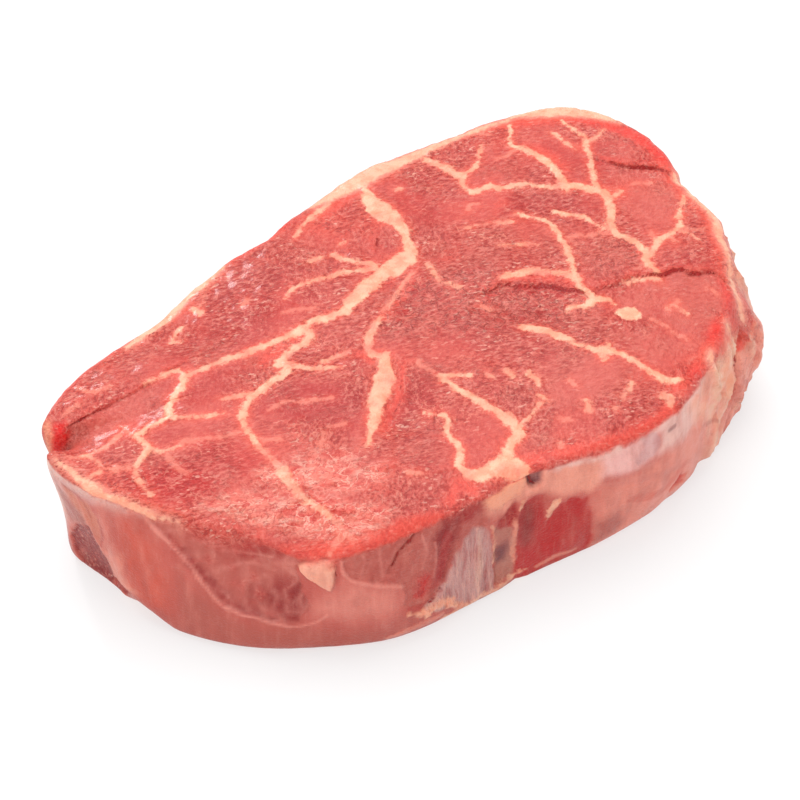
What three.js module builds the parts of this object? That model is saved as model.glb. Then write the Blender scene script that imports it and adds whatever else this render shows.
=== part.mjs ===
// A raw chuck tender steak: one thick slice of beef lying on its cut face.
// Millimetres, +Z up, +X along the steak towards its broad end, origin under its middle on the board.
// The upper cut face is a grid pressed into the steak's outline. Rings of the same outline run down the
// side to the foot, which is flat. Seams where one muscle stands proud of the next are relief in the face.
import * as THREE from "three";

// Driving sizes
const THICKNESS = 30; // from the board to the level of the upper cut face
const CROWN = 1.2; // how much higher the middle of the face is than its edge
const SAG_REACH = 5; // the face droops towards its edge with this power of the share of the way out
const EDGE_ROUND = 1.6; // rounding between the cut face and the side
const FOOT_ROUND = 1.6; // rounding between the side and the foot
const RIM_BAND = 0.1; // the outer share of the face where its relief is softer
const RELIEF_LOSS = 0.35; // the share of the relief that is gone at the rim

// The grid
const COLUMNS = 44; // squares along the face
const ROWS = 28; // squares across the face
const LEVELS = 10; // rings of squares down the side

// Stations round the outline, anticlockwise from the broad end, seen from above.
// rim is the edge of the cut face, sag how far it has drooped, foot where the side meets the board,
// and belly how far the side swells out between them.
const STATIONS = [
  { rim: [71.2, -2], sag: 0.5, foot: [69, -4], belly: 1.5 },
  { rim: [75.6, 10], sag: 0.3, foot: [73, 9], belly: 1.5 },
  { rim: [76.2, 21], sag: 0.6, foot: [74, 20], belly: 1.5 },
  { rim: [71.9, 33.3], sag: 1.4, foot: [70, 31], belly: 2.2 },
  { rim: [60.6, 38.9], sag: 0.5, foot: [59, 36.3], belly: 1.5 },
  { rim: [44.2, 43.2], sag: 0.7, foot: [44, 40.5], belly: 1.2 },
  { rim: [26, 47.6], sag: 1, foot: [26, 44], belly: 1.2 },
  { rim: [8, 46.5], sag: 0.6, foot: [8, 43.3], belly: 1 },
  { rim: [-10, 44.7], sag: 0.5, foot: [-10, 41.8], belly: 1 },
  { rim: [-28, 43.2], sag: 0.9, foot: [-28, 40.6], belly: 1 },
  { rim: [-46.2, 40.4], sag: 0.5, foot: [-45, 38], belly: 0.8 },
  { rim: [-60.4, 38.4], sag: 0.5, foot: [-58, 35.6], belly: 0.6 },
  { rim: [-70.8, 33.6], sag: 0.2, foot: [-66.8, 31.8], belly: 0.3 },
  { rim: [-73.9, 30.4], sag: 0.4, foot: [-70.2, 29.2], belly: 0 }, // the tip of the back muscle
  { rim: [-69.2, 27.2], sag: 1.8, foot: [-70.8, 27], belly: -0.4 }, // the notch where a seam meets the rim
  { rim: [-76.1, 23.4], sag: 1.4, foot: [-73.6, 23.8], belly: 0.2 },
  { rim: [-75.4, 14], sag: 1, foot: [-72.8, 12.6], belly: 0.8 },
  { rim: [-68.6, 1.6], sag: 1, foot: [-71.6, -3], belly: 1.4 },
  { rim: [-59.6, -12.2], sag: 2.6, foot: [-64.2, -16.6], belly: 1.6 },
  { rim: [-53.6, -23.4], sag: 4.2, foot: [-53.4, -26.6], belly: 1.4 },
  { rim: [-42, -32], sag: 3, foot: [-40.8, -35], belly: 1 },
  { rim: [-26, -36.6], sag: 1.3, foot: [-25, -38.5], belly: 0.7 },
  { rim: [-9, -39.6], sag: 0.9, foot: [-9, -41.1], belly: 0.6 },
  { rim: [7, -44.6], sag: 0.5, foot: [7, -44.1], belly: 1 },
  { rim: [22, -46.4], sag: 0.8, foot: [22.2, -45.1], belly: 1.2 },
  { rim: [38, -41], sag: 1, foot: [39.4, -42.2], belly: 1 },
  { rim: [52, -32.8], sag: 1, foot: [54.8, -36.6], belly: 1 },
  { rim: [63.6, -21.4], sag: 0.5, foot: [66, -23.4], belly: 1.4 },
];

// Muscle seams where the face steps down. Each runs so that its high side lies to the left of it.
const SEAM_WIDTH = 2; // half the width of the step at a seam
const SEAM_TROUGH = 0.4; // how deep the trough beside a seam is, as a share of its rise
const SEAM_FADE = 0.2; // a seam fades within this share of its length at each end
const SEAMS = [
  {
    name: "back muscle",
    rise: 1.7,
    reach: 9,
    line: [[-76, 27.6], [-63.5, 28], [-52, 27], [-40, 25.6]],
  },
  {
    name: "far corner",
    rise: 1.5,
    reach: 8,
    line: [[61, 15], [64.6, 9.5], [69, 5.2], [76, -3]],
  },
  {
    name: "broad end",
    rise: 1.9,
    reach: 10,
    line: [[32, -13], [42, -15.4], [48, -18.8], [56, -24.4], [63, -33]],
  },
  {
    name: "arch",
    rise: 1.4,
    reach: 8,
    line: [[12, 4.6], [20, 1.6], [26, -3.6], [29.4, -9], [30.6, -15]],
  },
];

// Shallow hollows in the face, each an oval turned by angle degrees.
const HOLLOWS = [
  { name: "beside the fat lens", at: [-20, -12.6], across: [11, 4.6], angle: 42, depth: 1.5 },
  { name: "at the fat junction", at: [3, 13], across: [11, 3.6], angle: 50, depth: 1 },
  { name: "under the arch", at: [18, -6], across: [11, 6], angle: -20, depth: 0.8 },
  { name: "narrow end", at: [-60, 10], across: [10, 7], angle: 70, depth: 0.7 },
];

// Slow unevenness of cut meat: waves that don't repeat across the face, by direction, phase and size.
const FACE_WAVES = [
  { along: 0.11, across: 0.05, phase: 0.4, size: 0.32 },
  { along: -0.07, across: 0.16, phase: 2.1, size: 0.26 },
  { along: 0.23, across: -0.19, phase: 4.2, size: 0.14 },
  { along: 0.31, across: 0.27, phase: 1.3, size: 0.1 },
];

// Swellings and hollows of the side: where they lie by station and height, how far they stand out
// (a hollow stands in), and their reach in stations and in height.
const SWELLINGS = [
  { name: "hanging lobe of fat", station: 26.3, z: 17, out: 4.4, wide: 0.4, high: 8 },
  { name: "muscle between films", station: 18.3, z: 17, out: -1.2, wide: 0.75, high: 9 },
  { name: "under the tip", station: 13, z: 16.5, out: -2.2, wide: 0.7, high: 9 },
  { name: "bare muscle below the film's edge", station: 15.9, z: 6, out: -1.3, wide: 0.5, high: 7 },
  { name: "film's lower edge", station: 16.7, z: 6, out: 0.7, wide: 0.35, high: 10 },
  { name: "silverskin", station: 21.3, z: 12, out: -1, wide: 0.3, high: 14 },
  { name: "gap under the rim", station: 21.75, z: 24, out: -1.4, wide: 0.25, high: 5 },
  { name: "red muscle", station: 22.2, z: 12, out: -0.8, wide: 0.45, high: 9 },
  { name: "fat cover", station: 23.5, z: 15, out: 0.7, wide: 0.8, high: 12 },
];
const FOLDS = { from: 24.4, to: 26, pitch: 0.42, lean: 0.012, out: 0.7, blend: 0.33 }; // upright folds of fat
const RIPPLE = { out: 0.35, perStation: 3.1, perHeight: 0.21 }; // slow waves all round the side
const SIDE_FADE = 0.13; // the side's relief fades within this share of its height at the rim and the foot

const flat = ([x, y], z = 0) => new THREE.Vector3(x, y, z);
const rimCurve = new THREE.CatmullRomCurve3(
  STATIONS.map((s) => flat(s.rim, THICKNESS - s.sag)),
  true,
  "centripetal",
);
const footCurve = new THREE.CatmullRomCurve3(
  STATIONS.map((s) => flat(s.foot)),
  true,
  "centripetal",
);
const bellyCurve = new THREE.CatmullRomCurve3(
  STATIONS.map((s) => new THREE.Vector3(s.belly, 0, 0)),
  true,
);
const MIDDLE = new THREE.Vector3(0, 0, 0);

const bell = (x) => Math.exp(-x * x);
const smoothstep = (x) => THREE.MathUtils.smoothstep(x, 0, 1);
const sumOf = (list, value) => list.reduce((sum, item) => sum + value(item), 0);

// Distance from a point to a seam's line, with the side it lies on and how far along it is.
function toSeam(line, x, y) {
  let best = { away: Infinity, side: 1, along: 0 };
  for (let i = 0; i + 1 < line.length; i++) {
    const [ax, ay] = line[i];
    const [dx, dy] = [line[i + 1][0] - ax, line[i + 1][1] - ay];
    const share = THREE.MathUtils.clamp(((x - ax) * dx + (y - ay) * dy) / (dx * dx + dy * dy), 0, 1);
    const [ex, ey] = [x - ax - share * dx, y - ay - share * dy];
    const away = Math.hypot(ex, ey);
    if (away < best.away) {
      best = { away, side: Math.sign(dx * ey - dy * ex) || 1, along: (i + share) / (line.length - 1) };
    }
  }
  return best;
}

// How far a seam lifts the face: a step at the line that fades on its high side, with a shallow trough
// along its low side. Both fade at the seam's ends.
function seamLift(seam, x, y) {
  const { away, side, along } = toSeam(seam.line, x, y);
  const ends = smoothstep(along / SEAM_FADE) * smoothstep((1 - along) / SEAM_FADE);
  const signed = side * away;
  const step = 0.5 + 0.5 * Math.tanh(signed / SEAM_WIDTH);
  const high = seam.rise * step * bell(Math.max(0, signed) / seam.reach);
  const trough = SEAM_TROUGH * seam.rise * bell((signed + SEAM_WIDTH) / (2 * SEAM_WIDTH));
  return ends * (high - trough);
}

function hollowDepth({ at, across, angle, depth }, x, y) {
  const turn = THREE.MathUtils.degToRad(angle);
  const [dx, dy] = [x - at[0], y - at[1]];
  const along = (dx * Math.cos(turn) + dy * Math.sin(turn)) / across[0];
  const aside = (dy * Math.cos(turn) - dx * Math.sin(turn)) / across[1];
  return depth * bell(Math.hypot(along, aside));
}

function faceRelief(x, y) {
  const lifts = sumOf(SEAMS, (seam) => seamLift(seam, x, y));
  const hollows = sumOf(HOLLOWS, (hollow) => hollowDepth(hollow, x, y));
  const waves = sumOf(FACE_WAVES, (w) => w.size * Math.sin(w.along * x + w.across * y + w.phase));
  return lifts - hollows + waves;
}

// Station number, from 0 to the number of stations, and its distance from another round the loop.
const stationAt = (turn) => turn * STATIONS.length;
function stationGap(station, other) {
  const n = STATIONS.length;
  return ((station - other + 1.5 * n) % n) - n / 2;
}

// The outline's outward direction, level with the board.
function outward(turn) {
  const tangent = footCurve.getTangent(turn);
  return new THREE.Vector3(tangent.y, -tangent.x, 0).normalize();
}

// How far the side stands out of its smooth sweep at a height.
function sideRelief(station, z) {
  const swellings = sumOf(
    SWELLINGS,
    (s) => s.out * bell(stationGap(station, s.station) / s.wide) * bell((z - s.z) / s.high),
  );
  const inFolds =
    smoothstep((station - FOLDS.from) / FOLDS.blend) * smoothstep((FOLDS.to - station) / FOLDS.blend);
  const fold = Math.sin((2 * Math.PI * (station - FOLDS.from + FOLDS.lean * z)) / FOLDS.pitch);
  const ripple = Math.sin(RIPPLE.perStation * station + RIPPLE.perHeight * z);
  return swellings + FOLDS.out * inFolds * fold + RIPPLE.out * ripple;
}

// A point on the side: share is 1 at the rim and 0 at the foot.
function sidePoint(turn, share) {
  const rim = rimCurve.getPoint(turn);
  const point = footCurve.getPoint(turn).lerp(rim, share);
  const nearFoot = Math.max(0, 1 - point.z / FOOT_ROUND);
  const nearRim = Math.max(0, 1 - (rim.z - point.z) / EDGE_ROUND);
  const tuck = FOOT_ROUND * (1 - Math.sqrt(1 - nearFoot ** 2)) + (EDGE_ROUND / 2) * nearRim ** 2;
  const swell = bellyCurve.getPoint(turn).x * Math.sin(Math.PI * share);
  const fade = smoothstep(share / SIDE_FADE) * smoothstep((1 - share) / SIDE_FADE);
  const relief = fade * sideRelief(stationAt(turn), point.z);
  return point.addScaledVector(outward(turn), swell + relief - tuck);
}

// A point on the cut face: out is 0 at the middle and 1 at the rounded edge.
function facePoint(turn, out) {
  const rim = rimCurve.getPoint(turn);
  const edge = rim.clone().addScaledVector(outward(turn), -EDGE_ROUND);
  const { x, y } = MIDDLE.clone().lerp(edge, out);
  const sag = (THICKNESS - rim.z) * out ** SAG_REACH;
  const fade = 1 - RELIEF_LOSS * smoothstep((out - 1 + RIM_BAND) / RIM_BAND);
  return new THREE.Vector3(x, y, THICKNESS + CROWN * (1 - out ** 2) - sag + fade * faceRelief(x, y));
}

// Where a point of a square from -1 to 1 goes in a round disc: which way round, and how far out.
function squareToDisc(u, v) {
  const x = u * Math.sqrt(1 - (v * v) / 2);
  const y = v * Math.sqrt(1 - (u * u) / 2);
  const turn = Math.atan2(y, x) / (2 * Math.PI);
  return { turn: (turn + 1) % 1, out: Math.min(1, Math.hypot(x, y)) };
}

// Both flat sheets of the steak are grids of the same squares: lists of the columns' points.
const gridOf = (makePoint) =>
  Array.from({ length: COLUMNS + 1 }, (_, i) =>
    Array.from({ length: ROWS + 1 }, (_, j) => makePoint((2 * i) / COLUMNS - 1, (2 * j) / ROWS - 1)),
  );

// The points on a grid's border, anticlockwise seen from above.
function borderOf(grid) {
  const border = [];
  for (let i = 0; i < COLUMNS; i++) border.push(grid[i][0]);
  for (let j = 0; j < ROWS; j++) border.push(grid[COLUMNS][j]);
  for (let i = COLUMNS; i > 0; i--) border.push(grid[i][ROWS]);
  for (let j = ROWS; j > 0; j--) border.push(grid[0][j]);
  return border;
}

function steakGeometry() {
  const points = [];
  const triangles = [];
  const add = (point) => points.push(point) - 1;
  const quad = (a, b, c, d) => triangles.push(a, b, c, a, c, d);
  const joinRings = (upper, lower) =>
    upper.forEach((_, k) => {
      const next = (k + 1) % upper.length;
      quad(upper[k], lower[k], lower[next], upper[next]);
    });

  // The cut face
  const face = gridOf((u, v) => {
    const { turn, out } = squareToDisc(u, v);
    return { turn, index: add(facePoint(turn, out)) };
  });
  const edge = borderOf(face);
  for (let i = 0; i < COLUMNS; i++) {
    for (let j = 0; j < ROWS; j++) {
      quad(face[i][j].index, face[i + 1][j].index, face[i + 1][j + 1].index, face[i][j + 1].index);
    }
  }

  // Rings down the side, closer together near the rim and the foot
  let ring = edge.map((e) => e.index);
  for (let level = 1; level <= LEVELS; level++) {
    const share = 0.5 * (1 + Math.cos((Math.PI * level) / LEVELS));
    const lower = edge.map((e) => add(sidePoint(e.turn, share)));
    joinRings(ring, lower);
    ring = lower;
  }

  // The flat foot, whose border is the last ring
  const last = new Map(edge.map((e, k) => [e, ring[k]]));
  const foot = face.map((column, i) =>
    column.map((spot, j) => {
      if (last.has(spot)) return last.get(spot);
      const { turn, out } = squareToDisc((2 * i) / COLUMNS - 1, (2 * j) / ROWS - 1);
      return add(MIDDLE.clone().lerp(sidePoint(turn, 0), out));
    }),
  );
  for (let i = 0; i < COLUMNS; i++) {
    for (let j = 0; j < ROWS; j++) {
      quad(foot[i][j], foot[i][j + 1], foot[i + 1][j + 1], foot[i + 1][j]);
    }
  }

  return new THREE.BufferGeometry().setFromPoints(points).setIndex(triangles);
}

const steak = new THREE.Mesh(
  steakGeometry(),
  new THREE.MeshStandardMaterial({ color: 0xc4524d, roughness: 0.42, metalness: 0 }),
);
steak.name = "steak";
steak.geometry.computeBoundingBox();
const centre = steak.geometry.boundingBox.getCenter(new THREE.Vector3());
steak.geometry.translate(-centre.x, -centre.y, 0);
steak.geometry.computeVertexNormals();

const group = new THREE.Group();
group.name = "chuck_tender_steak";
group.add(steak);

export default group;
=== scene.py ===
"""A raw chuck tender steak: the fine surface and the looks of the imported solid, on a white board.

Features of the upper cut face are placed by x and y, and those of its side by s, the way round it, and
by the height z, all in millimetres. The side's s runs anticlockwise, seen from above, from a start angle.
A feature is a stroke, a list of points with widths, or an area, a list of corners.
"""
import math

import bmesh
import bpy
import numpy as np
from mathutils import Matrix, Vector
from mathutils.bvhtree import BVHTree


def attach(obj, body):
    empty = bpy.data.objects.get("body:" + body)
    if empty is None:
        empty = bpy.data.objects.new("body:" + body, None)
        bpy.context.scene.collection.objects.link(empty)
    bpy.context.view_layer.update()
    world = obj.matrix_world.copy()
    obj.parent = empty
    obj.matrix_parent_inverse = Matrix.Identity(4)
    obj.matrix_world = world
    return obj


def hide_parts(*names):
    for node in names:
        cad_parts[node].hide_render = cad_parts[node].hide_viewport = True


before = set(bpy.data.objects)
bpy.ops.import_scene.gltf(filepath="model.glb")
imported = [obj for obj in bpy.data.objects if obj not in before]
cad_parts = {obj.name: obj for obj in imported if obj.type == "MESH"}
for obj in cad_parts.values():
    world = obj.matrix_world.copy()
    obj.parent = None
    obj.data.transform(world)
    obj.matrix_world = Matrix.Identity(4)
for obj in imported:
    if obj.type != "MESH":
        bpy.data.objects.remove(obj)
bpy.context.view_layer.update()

MM = 0.001

# The mesh
TRIANGLES = 196000  # the most that the steak may have
WELD_REACH = 1e-6  # metres between corners that are one
PAIR_ANGLE = 3.1  # radians, wide enough to pair every two triangles into a square
ROUNDINGS = 2
SPLIT_COST = 7.4  # triangles that one more split square adds, with those of its neighbours
SPLIT_REACH = 1.2  # mm outside a feature where squares are still split

# The view
LOOK_AT = (-16.2077, -8.8458, 30)
AZIMUTH, ELEVATION = -42, 46  # degrees
DISTANCE = 550
LENS = 128

# Where the side's measure starts, and how high it is taken
START_ANGLE = 158  # degrees
OUTLINE_HEIGHT = 15
OUTLINE_STEPS = 720
OUTLINE_RAY = 200  # how far out the rays start that find the outline

# Where the side turns into a cut face
FACE_WOBBLE, SIDE_WOBBLE = 0.35, 0.3  # mm by which the edges of features wander
UPPER_LEAN = (0.3, 0.6)  # the upward share of the normal over which the upper face begins
LOWER_LEAN = (0.42, 0.72)  # the downward share of the normal over which the lower face begins
UPPER_PART = (14, 20)  # heights over which the upper part begins
WELL_WITHIN = (2.5, 4.5)  # distances from the outline over which everything high is cut face
FACE_HEIGHT = 22  # the upper face's sharp features lie above this
FACE_LEAN = 0.3  # and on normals that point up by more than this
SIDE_LEAN = 0.75  # the side's sharp features lie on normals below this

# Veins of fat in the cut face, as (paleness, points). A point is (x, y) or (x, y, width).
VEINS = [
    (1.0, [(-8.5, 16, 1.6), (-12, 17), (-15, 18), (-20, 18), (-25, 19), (-30, 20.2, 1.4)]),
    (0.7, [(-30, 20.2, 1.3), (-34, 21.4, 1.1), (-38, 22.2, 0.7), (-41, 22.8, 0.8), (-43.5, 23.5, 1.4)]),
    (0.8, [(-43, 24, 0.7), (-44.5, 26), (-48, 26.7), (-51, 27, 0.4)]),
    (1.0, [(-43.5, 23.5, 1.8), (-46, 21.5, 1.3), (-49, 20.2), (-51, 19.3), (-52.5, 16.8), (-55, 17),
        (-57, 17.8), (-60, 18, 1.0)]),
    (0.9, [(-60, 18, 0.9), (-60, 15), (-60.3, 13.8, 1.1)]),
    (0.5, [(-60, 22.5, 0.5), (-60.5, 20), (-60, 18)]),
    (0.8, [(-52.5, 16, 0.8), (-50, 14), (-48, 12.5), (-46, 11.3), (-44.5, 10.4, 0.4)]),
    (0.8, [(-60.3, 13.8, 1.0), (-63, 12.5), (-65, 11.5), (-66.5, 9), (-67, 6), (-67, 4.5, 0.5)]),
    (0.7, [(-60, 13.5, 0.8), (-59, 11.5), (-57, 10.5), (-55.5, 10, 0.5)]),
    (0.4, [(-56, 10.2, 0.4), (-54, 9.8), (-51, 7.5), (-47.5, 5.7), (-45, 4.8, 0.3)]),
    (0.4, [(-59, 10, 0.5), (-59.5, 6), (-59, 4)]),
    (0.9, [(-18, 17.5, 1.6), (-17.5, 16, 1.2), (-20, 15), (-24, 14.5), (-28, 13.5), (-26.5, 12.3, 1.6)]),
    (1.0, [(-26.5, 12.3, 1.8), (-28.5, 11, 1.4), (-33, 10.8), (-37, 10.5), (-39.5, 9.8), (-41.5, 8.2),
        (-43, 6.3), (-44, 4.2), (-44.2, 2), (-44.8, 0.5, 0.9)]),
    (0.6, [(-44.8, 0.5, 0.8), (-44.8, -3), (-45, -6), (-45.3, -8)]),
    (0.6, [(-42, 13.6, 0.6), (-39.5, 12.5), (-37, 11)]),
    (0.4, [(-43.5, 1, 0.5), (-42, -0.5), (-40.5, -1.7)]),
    (0.8, [(-26.5, 12.3, 1.2), (-24.5, 9.5), (-22.5, 8), (-20.5, 6), (-19.5, 5.2, 0.5)]),
    (0.6, [(-73, 22, 0.6), (-70, 20.8), (-67, 20.3), (-65, 20), (-62, 20.8), (-60, 21.5)]),
    (0.6, [(-70, 20.8, 0.6), (-69.3, 18.5), (-69.5, 16), (-68, 14), (-66, 12.5)]),
    (0.6, [(-72, 16, 0.7), (-69.5, 15.5), (-67.5, 14), (-66, 12)]),
    (0.5, [(-60.5, 35, 0.8), (-60, 32), (-57, 31), (-56, 30.5, 0.5)]),
    (0.8, [(-35, 35.7, 0.8), (-37.5, 34.3), (-39, 33.2), (-37.6, 32)]),
    (0.5, [(-24, 41, 0.5), (-27, 38.5), (-29.5, 37.5)]),
    (0.7, [(-29.5, 38.5, 1.1), (-29.5, 36)]),
    (0.4, [(-68, 31, 0.5), (-64, 31)]),
    (0.4, [(-37, 5.5, 0.5), (-33, 5), (-31, 3), (-28, 1.5), (-26, 0)]),
    (0.4, [(-36, -8, 0.5), (-33, -6), (-31, -5.7), (-29, -7)]),
    (1.0, [(20, 43, 1.4), (19, 40.5, 1.6), (17.6, 37.5, 3.6), (17, 33.5, 5), (17, 30, 3.2), (16.6, 26, 1.9),
        (14.5, 23), (13, 20.5, 2.2), (11, 18.5, 2.6)]),
    (1.0, [(-9, 16.3, 1.6), (-4, 17.6, 3), (0, 18.4, 3.4), (4, 19, 3), (8, 19, 4.6), (11, 19.6, 4)]),
    (0.8, [(-1, 40, 0.6), (1, 41), (4, 42.2), (7, 42.8), (10, 43.5), (13, 44.8, 1.1)]),
    (0.8, [(-15, 27, 0.5), (-11, 27.8), (-8, 27), (-5, 26), (-2, 25), (0, 24), (2, 22.5), (4, 21.5, 1)]),
    (0.8, [(0.5, 30, 0.8), (1, 28), (2, 26), (3.5, 24), (4.5, 22, 1)]),
    (0.8, [(-4, 31.5, 1.1), (-2, 31)]),
    (0.7, [(4, 31.7, 0.6), (4.8, 31.7)]),
    (0.6, [(-22, 31.5, 0.7), (-20.5, 32)]),
    (0.4, [(-18, 24, 0.5), (-15, 22.5), (-12, 21)]),
    (0.6, [(-3, 11, 0.6), (0, 12), (4, 13.8), (7, 14.8), (9, 15.5)]),
    (0.75, [(-5, 9.5, 1.1), (-9, 8.2, 1.5), (-11.3, 6), (-12.3, 4), (-11.5, 1.5, 1.4)]),
    (1.0, [(-10.5, 1.7, 1.2), (-14, -2, 3.4), (-17, -4.5, 3.8), (-20, -6.5, 3.2), (-23, -9, 2.4),
        (-26, -11.5, 1.4), (-29, -14, 0.7)]),
    (0.6, [(-20.5, 8.5, 0.7), (-18, 7.8), (-15.5, 7.5)]),
    (0.7, [(13, 15.5, 0.7), (12.3, 13), (11.5, 11), (11, 9), (12, 7), (12.5, 5.5)]),
    (1.0, [(14.3, -10.6, 1), (16, -12.5, 2), (17, -14, 1.8), (17.7, -15.5, 1.3), (18.2, -17.5, 1.4),
        (18.8, -19.5), (19.3, -21.5, 0.9), (20, -23.5, 1.1), (21, -25.6, 1.8), (22, -26.6, 2),
        (22.8, -27.8, 1.3), (23.6, -29.5, 1.1), (24.3, -32), (24.8, -35), (25.3, -37.5), (25.8, -39, 1.5),
        (27, -40.2), (28.6, -41.2, 1.2)]),
    (0.9, [(22, -26.3, 1.7), (23.8, -25.9, 0.7)]),
    (0.9, [(21, -26.5, 1.4), (20.2, -28.2, 0.9)]),
    (0.9, [(-7, -10, 0.9), (-5, -11), (-3.5, -12.5), (-2, -13.8, 0.7)]),
    (0.95, [(-7, -10.5, 1), (-6.6, -13), (-6.6, -15), (-6, -17, 1.3), (-5.4, -19.5), (-5, -22),
        (-4.6, -24.5, 1.5), (-4.3, -26.5, 2.2), (-4.6, -29), (-5.8, -31, 1.7)]),
    (1.0, [(-5, -30.5, 2), (-8, -31.4, 1.7), (-11, -33, 2.4), (-14, -34, 3.4), (-17, -33.6, 3),
        (-19, -31.5, 1.8), (-19.3, -29.5, 1.5), (-18.6, -28.3), (-17.2, -27, 1.2), (-16, -25, 1),
        (-15.7, -23), (-15, -21), (-13.5, -19.5), (-13, -18, 0.8), (-14, -16.5), (-15, -15, 0.5)]),
    (1.0, [(-14, -34.5, 3), (-12, -36, 5), (-12, -38, 4)]),
    (0.8, [(-3.5, -29, 0.8), (-1, -28.8), (1, -28.3), (3, -28, 0.6)]),
    (0.7, [(4.5, -26.3, 0.8), (4.6, -27.8)]),
    (0.7, [(7, -20.8, 0.8), (6.8, -23), (6.2, -24.5, 0.5)]),
    (0.6, [(4, -17, 0.6), (4.2, -18.5), (3.7, -19.5)]),
    (0.5, [(0.5, -15.5, 0.5), (0.8, -17)]),
    (0.5, [(11.7, -27, 0.5), (11.5, -29)]),
    (0.7, [(9.8, -33.6, 0.9), (9, -34.8), (8.5, -35.5)]),
    (0.4, [(3.5, -33, 0.7), (4.5, -34.5)]),
    (0.5, [(-0.5, -37.2, 0.7), (-1.5, -38.3)]),
    (0.6, [(16, -37.5, 0.7), (18, -37), (20, -36)]),
    (0.5, [(12.6, -38, 0.6), (13, -38.6)]),
    (0.7, [(22.3, -41.6, 0.9), (23.5, -42.8), (22.5, -44)]),
    (0.9, [(35.5, 41, 0.8), (36, 38), (36.5, 35), (36.5, 32), (37, 31, 1.8), (36.3, 30, 0.9)]),
    (0.8, [(37, 31, 0.9), (40, 31), (42, 31.5), (44.5, 33.5), (46.5, 35, 0.5)]),
    (0.85, [(36, 30, 0.8), (35, 28), (35, 25.5), (37, 24.5), (38.5, 24, 1.4), (40, 22, 0.8), (43, 20.5),
        (45, 19), (46, 17), (47.5, 15.5), (49, 14), (50, 13, 1)]),
    (1.0, [(56, 36.5, 0.5), (54, 34), (52, 32), (51.3, 30.4, 0.8), (52.3, 27.5, 1.3), (52.7, 25),
        (52.8, 22), (52.3, 19), (51.5, 16.5), (50.5, 14.5, 1.6), (50, 13, 2.2)]),
    (0.4, [(49.5, 38.5, 0.4), (50.5, 36.5)]),
    (0.4, [(51.3, 29.3, 0.5), (48, 29), (46, 29.5)]),
    (0.8, [(60.5, 27.5, 0.9), (60.2, 25.5), (60, 23), (60.2, 20.5, 0.4)]),
    (0.9, [(65.2, 30, 0.6), (64.8, 26), (64.5, 22.5), (63.5, 20.5), (62.3, 19.5), (61.3, 17.5, 0.9),
        (60.3, 16.3), (58, 13.5), (56.5, 11.5), (55.3, 9.5), (54.8, 8, 1.2)]),
    (0.7, [(63.5, 20.3, 0.7), (66, 20.7), (68, 21.2), (70, 22, 0.4)]),
    (1.0, [(50.3, 13, 1.8), (52, 11.5), (53.5, 9.5), (54.7, 8), (55, 6.5, 1.9), (54, 4.5, 1.5), (52.5, 2.5),
        (51, 0.8), (49.5, -0.8), (48.3, -2.5), (48.2, -5), (48.7, -7.5), (48.5, -10), (48, -12, 1.5)]),
    (0.8, [(55, 5, 1.1), (57, 4.8), (58, 5.5, 0.6)]),
    (0.4, [(62, 5.5, 0.5), (64, 4), (65, 3.2)]),
    (0.9, [(37, 14, 0.7), (38, 12), (39.3, 10), (40, 8), (39.6, 5.5), (38.5, 3), (37.5, 0.5), (36.3, -2),
        (34.5, -4.5), (33, -6.5), (32, -8.5), (31, -10.5), (30.6, -14.6, 1.2)]),
    (0.8, [(43.3, 9.5, 0.7), (45, 7), (46.5, 4.5), (47, 1.5), (47.3, -1), (48, -3)]),
    (0.4, [(40, 2, 0.5), (43, 0), (46, -1.5), (47.5, -3)]),
    (0.6, [(27.5, 9, 0.6), (30, 7), (32.5, 5.5), (33.5, 4)]),
    (0.6, [(26, 18, 0.6), (27, 17.3)]),
    (0.6, [(28, 17.2, 0.5), (30, 16)]),
    (0.7, [(31.5, 15, 0.9), (34, 13)]),
    (0.4, [(30.5, 22, 0.5), (32, 22.8), (33.2, 22)]),
    (0.6, [(24, 37, 0.7), (24.8, 36.6)]),
    (0.9, [(67, -4.5, 0.6), (65, -5.7), (63, -7), (61, -8.5), (59.5, -10), (58.3, -11.2, 1.1), (56, -11.5),
        (53.5, -11), (51, -12), (48, -13, 1.3), (46.5, -13.5, 1.5), (46, -15.3, 1.3), (45.8, -17, 1)]),
    (0.5, [(53.8, -8, 0.5), (53, -9.5), (53, -11)]),
    (0.6, [(55, -12, 0.7), (55, -14)]),
    (0.6, [(58, -12, 0.8), (58.6, -14.5), (58.5, -17, 0.3)]),
    (0.4, [(58.5, -11.8, 0.5), (60, -13), (62, -14)]),
    (0.9, [(24.8, -13, 0.8), (26.3, -13.2, 1.4), (27.8, -14.8, 1.2), (30, -15, 1.6), (31.5, -15.3),
        (32.6, -16.5, 1.0), (32.8, -18, 0.5)]),
    (0.8, [(39, -15.3, 0.6), (41, -15.9, 0.9), (43, -16.9), (44.6, -18), (45.2, -19.3, 0.6)]),
    (0.6, [(40.4, -26, 0.7), (42, -25.8), (42.3, -27.2), (42.6, -29, 0.3)]),
    (0.5, [(42, -25.8, 0.6), (43.6, -25.2, 0.3)]),
    (0.4, [(51.3, -26.5, 0.4), (51.8, -29)]),
    (0.4, [(35.6, -26, 0.4), (36.3, -29)]),
    (0.4, [(36.5, -31, 0.4), (37.5, -34)]),
    (0.5, [(12.7, -1, 0.5), (13.4, -3.5)]),
    (0.4, [(-7.5, -4, 0.5), (-6.8, -8)]),
    (0.75, [(-45.3, -8, 2.2), (-46, -11, 1.6), (-46.4, -14.5, 1), (-46, -17, 1.2), (-45.3, -20, 0.9),
        (-45, -22.6, 0.7)]),
    (0.5, [(-45, -22, 0.9), (-45.4, -25, 1.4), (-44.5, -27.4, 1)]),
    (0.5, [(-46, -25.5, 0.9), (-48, -26), (-50.5, -27, 0.4)]),
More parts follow.
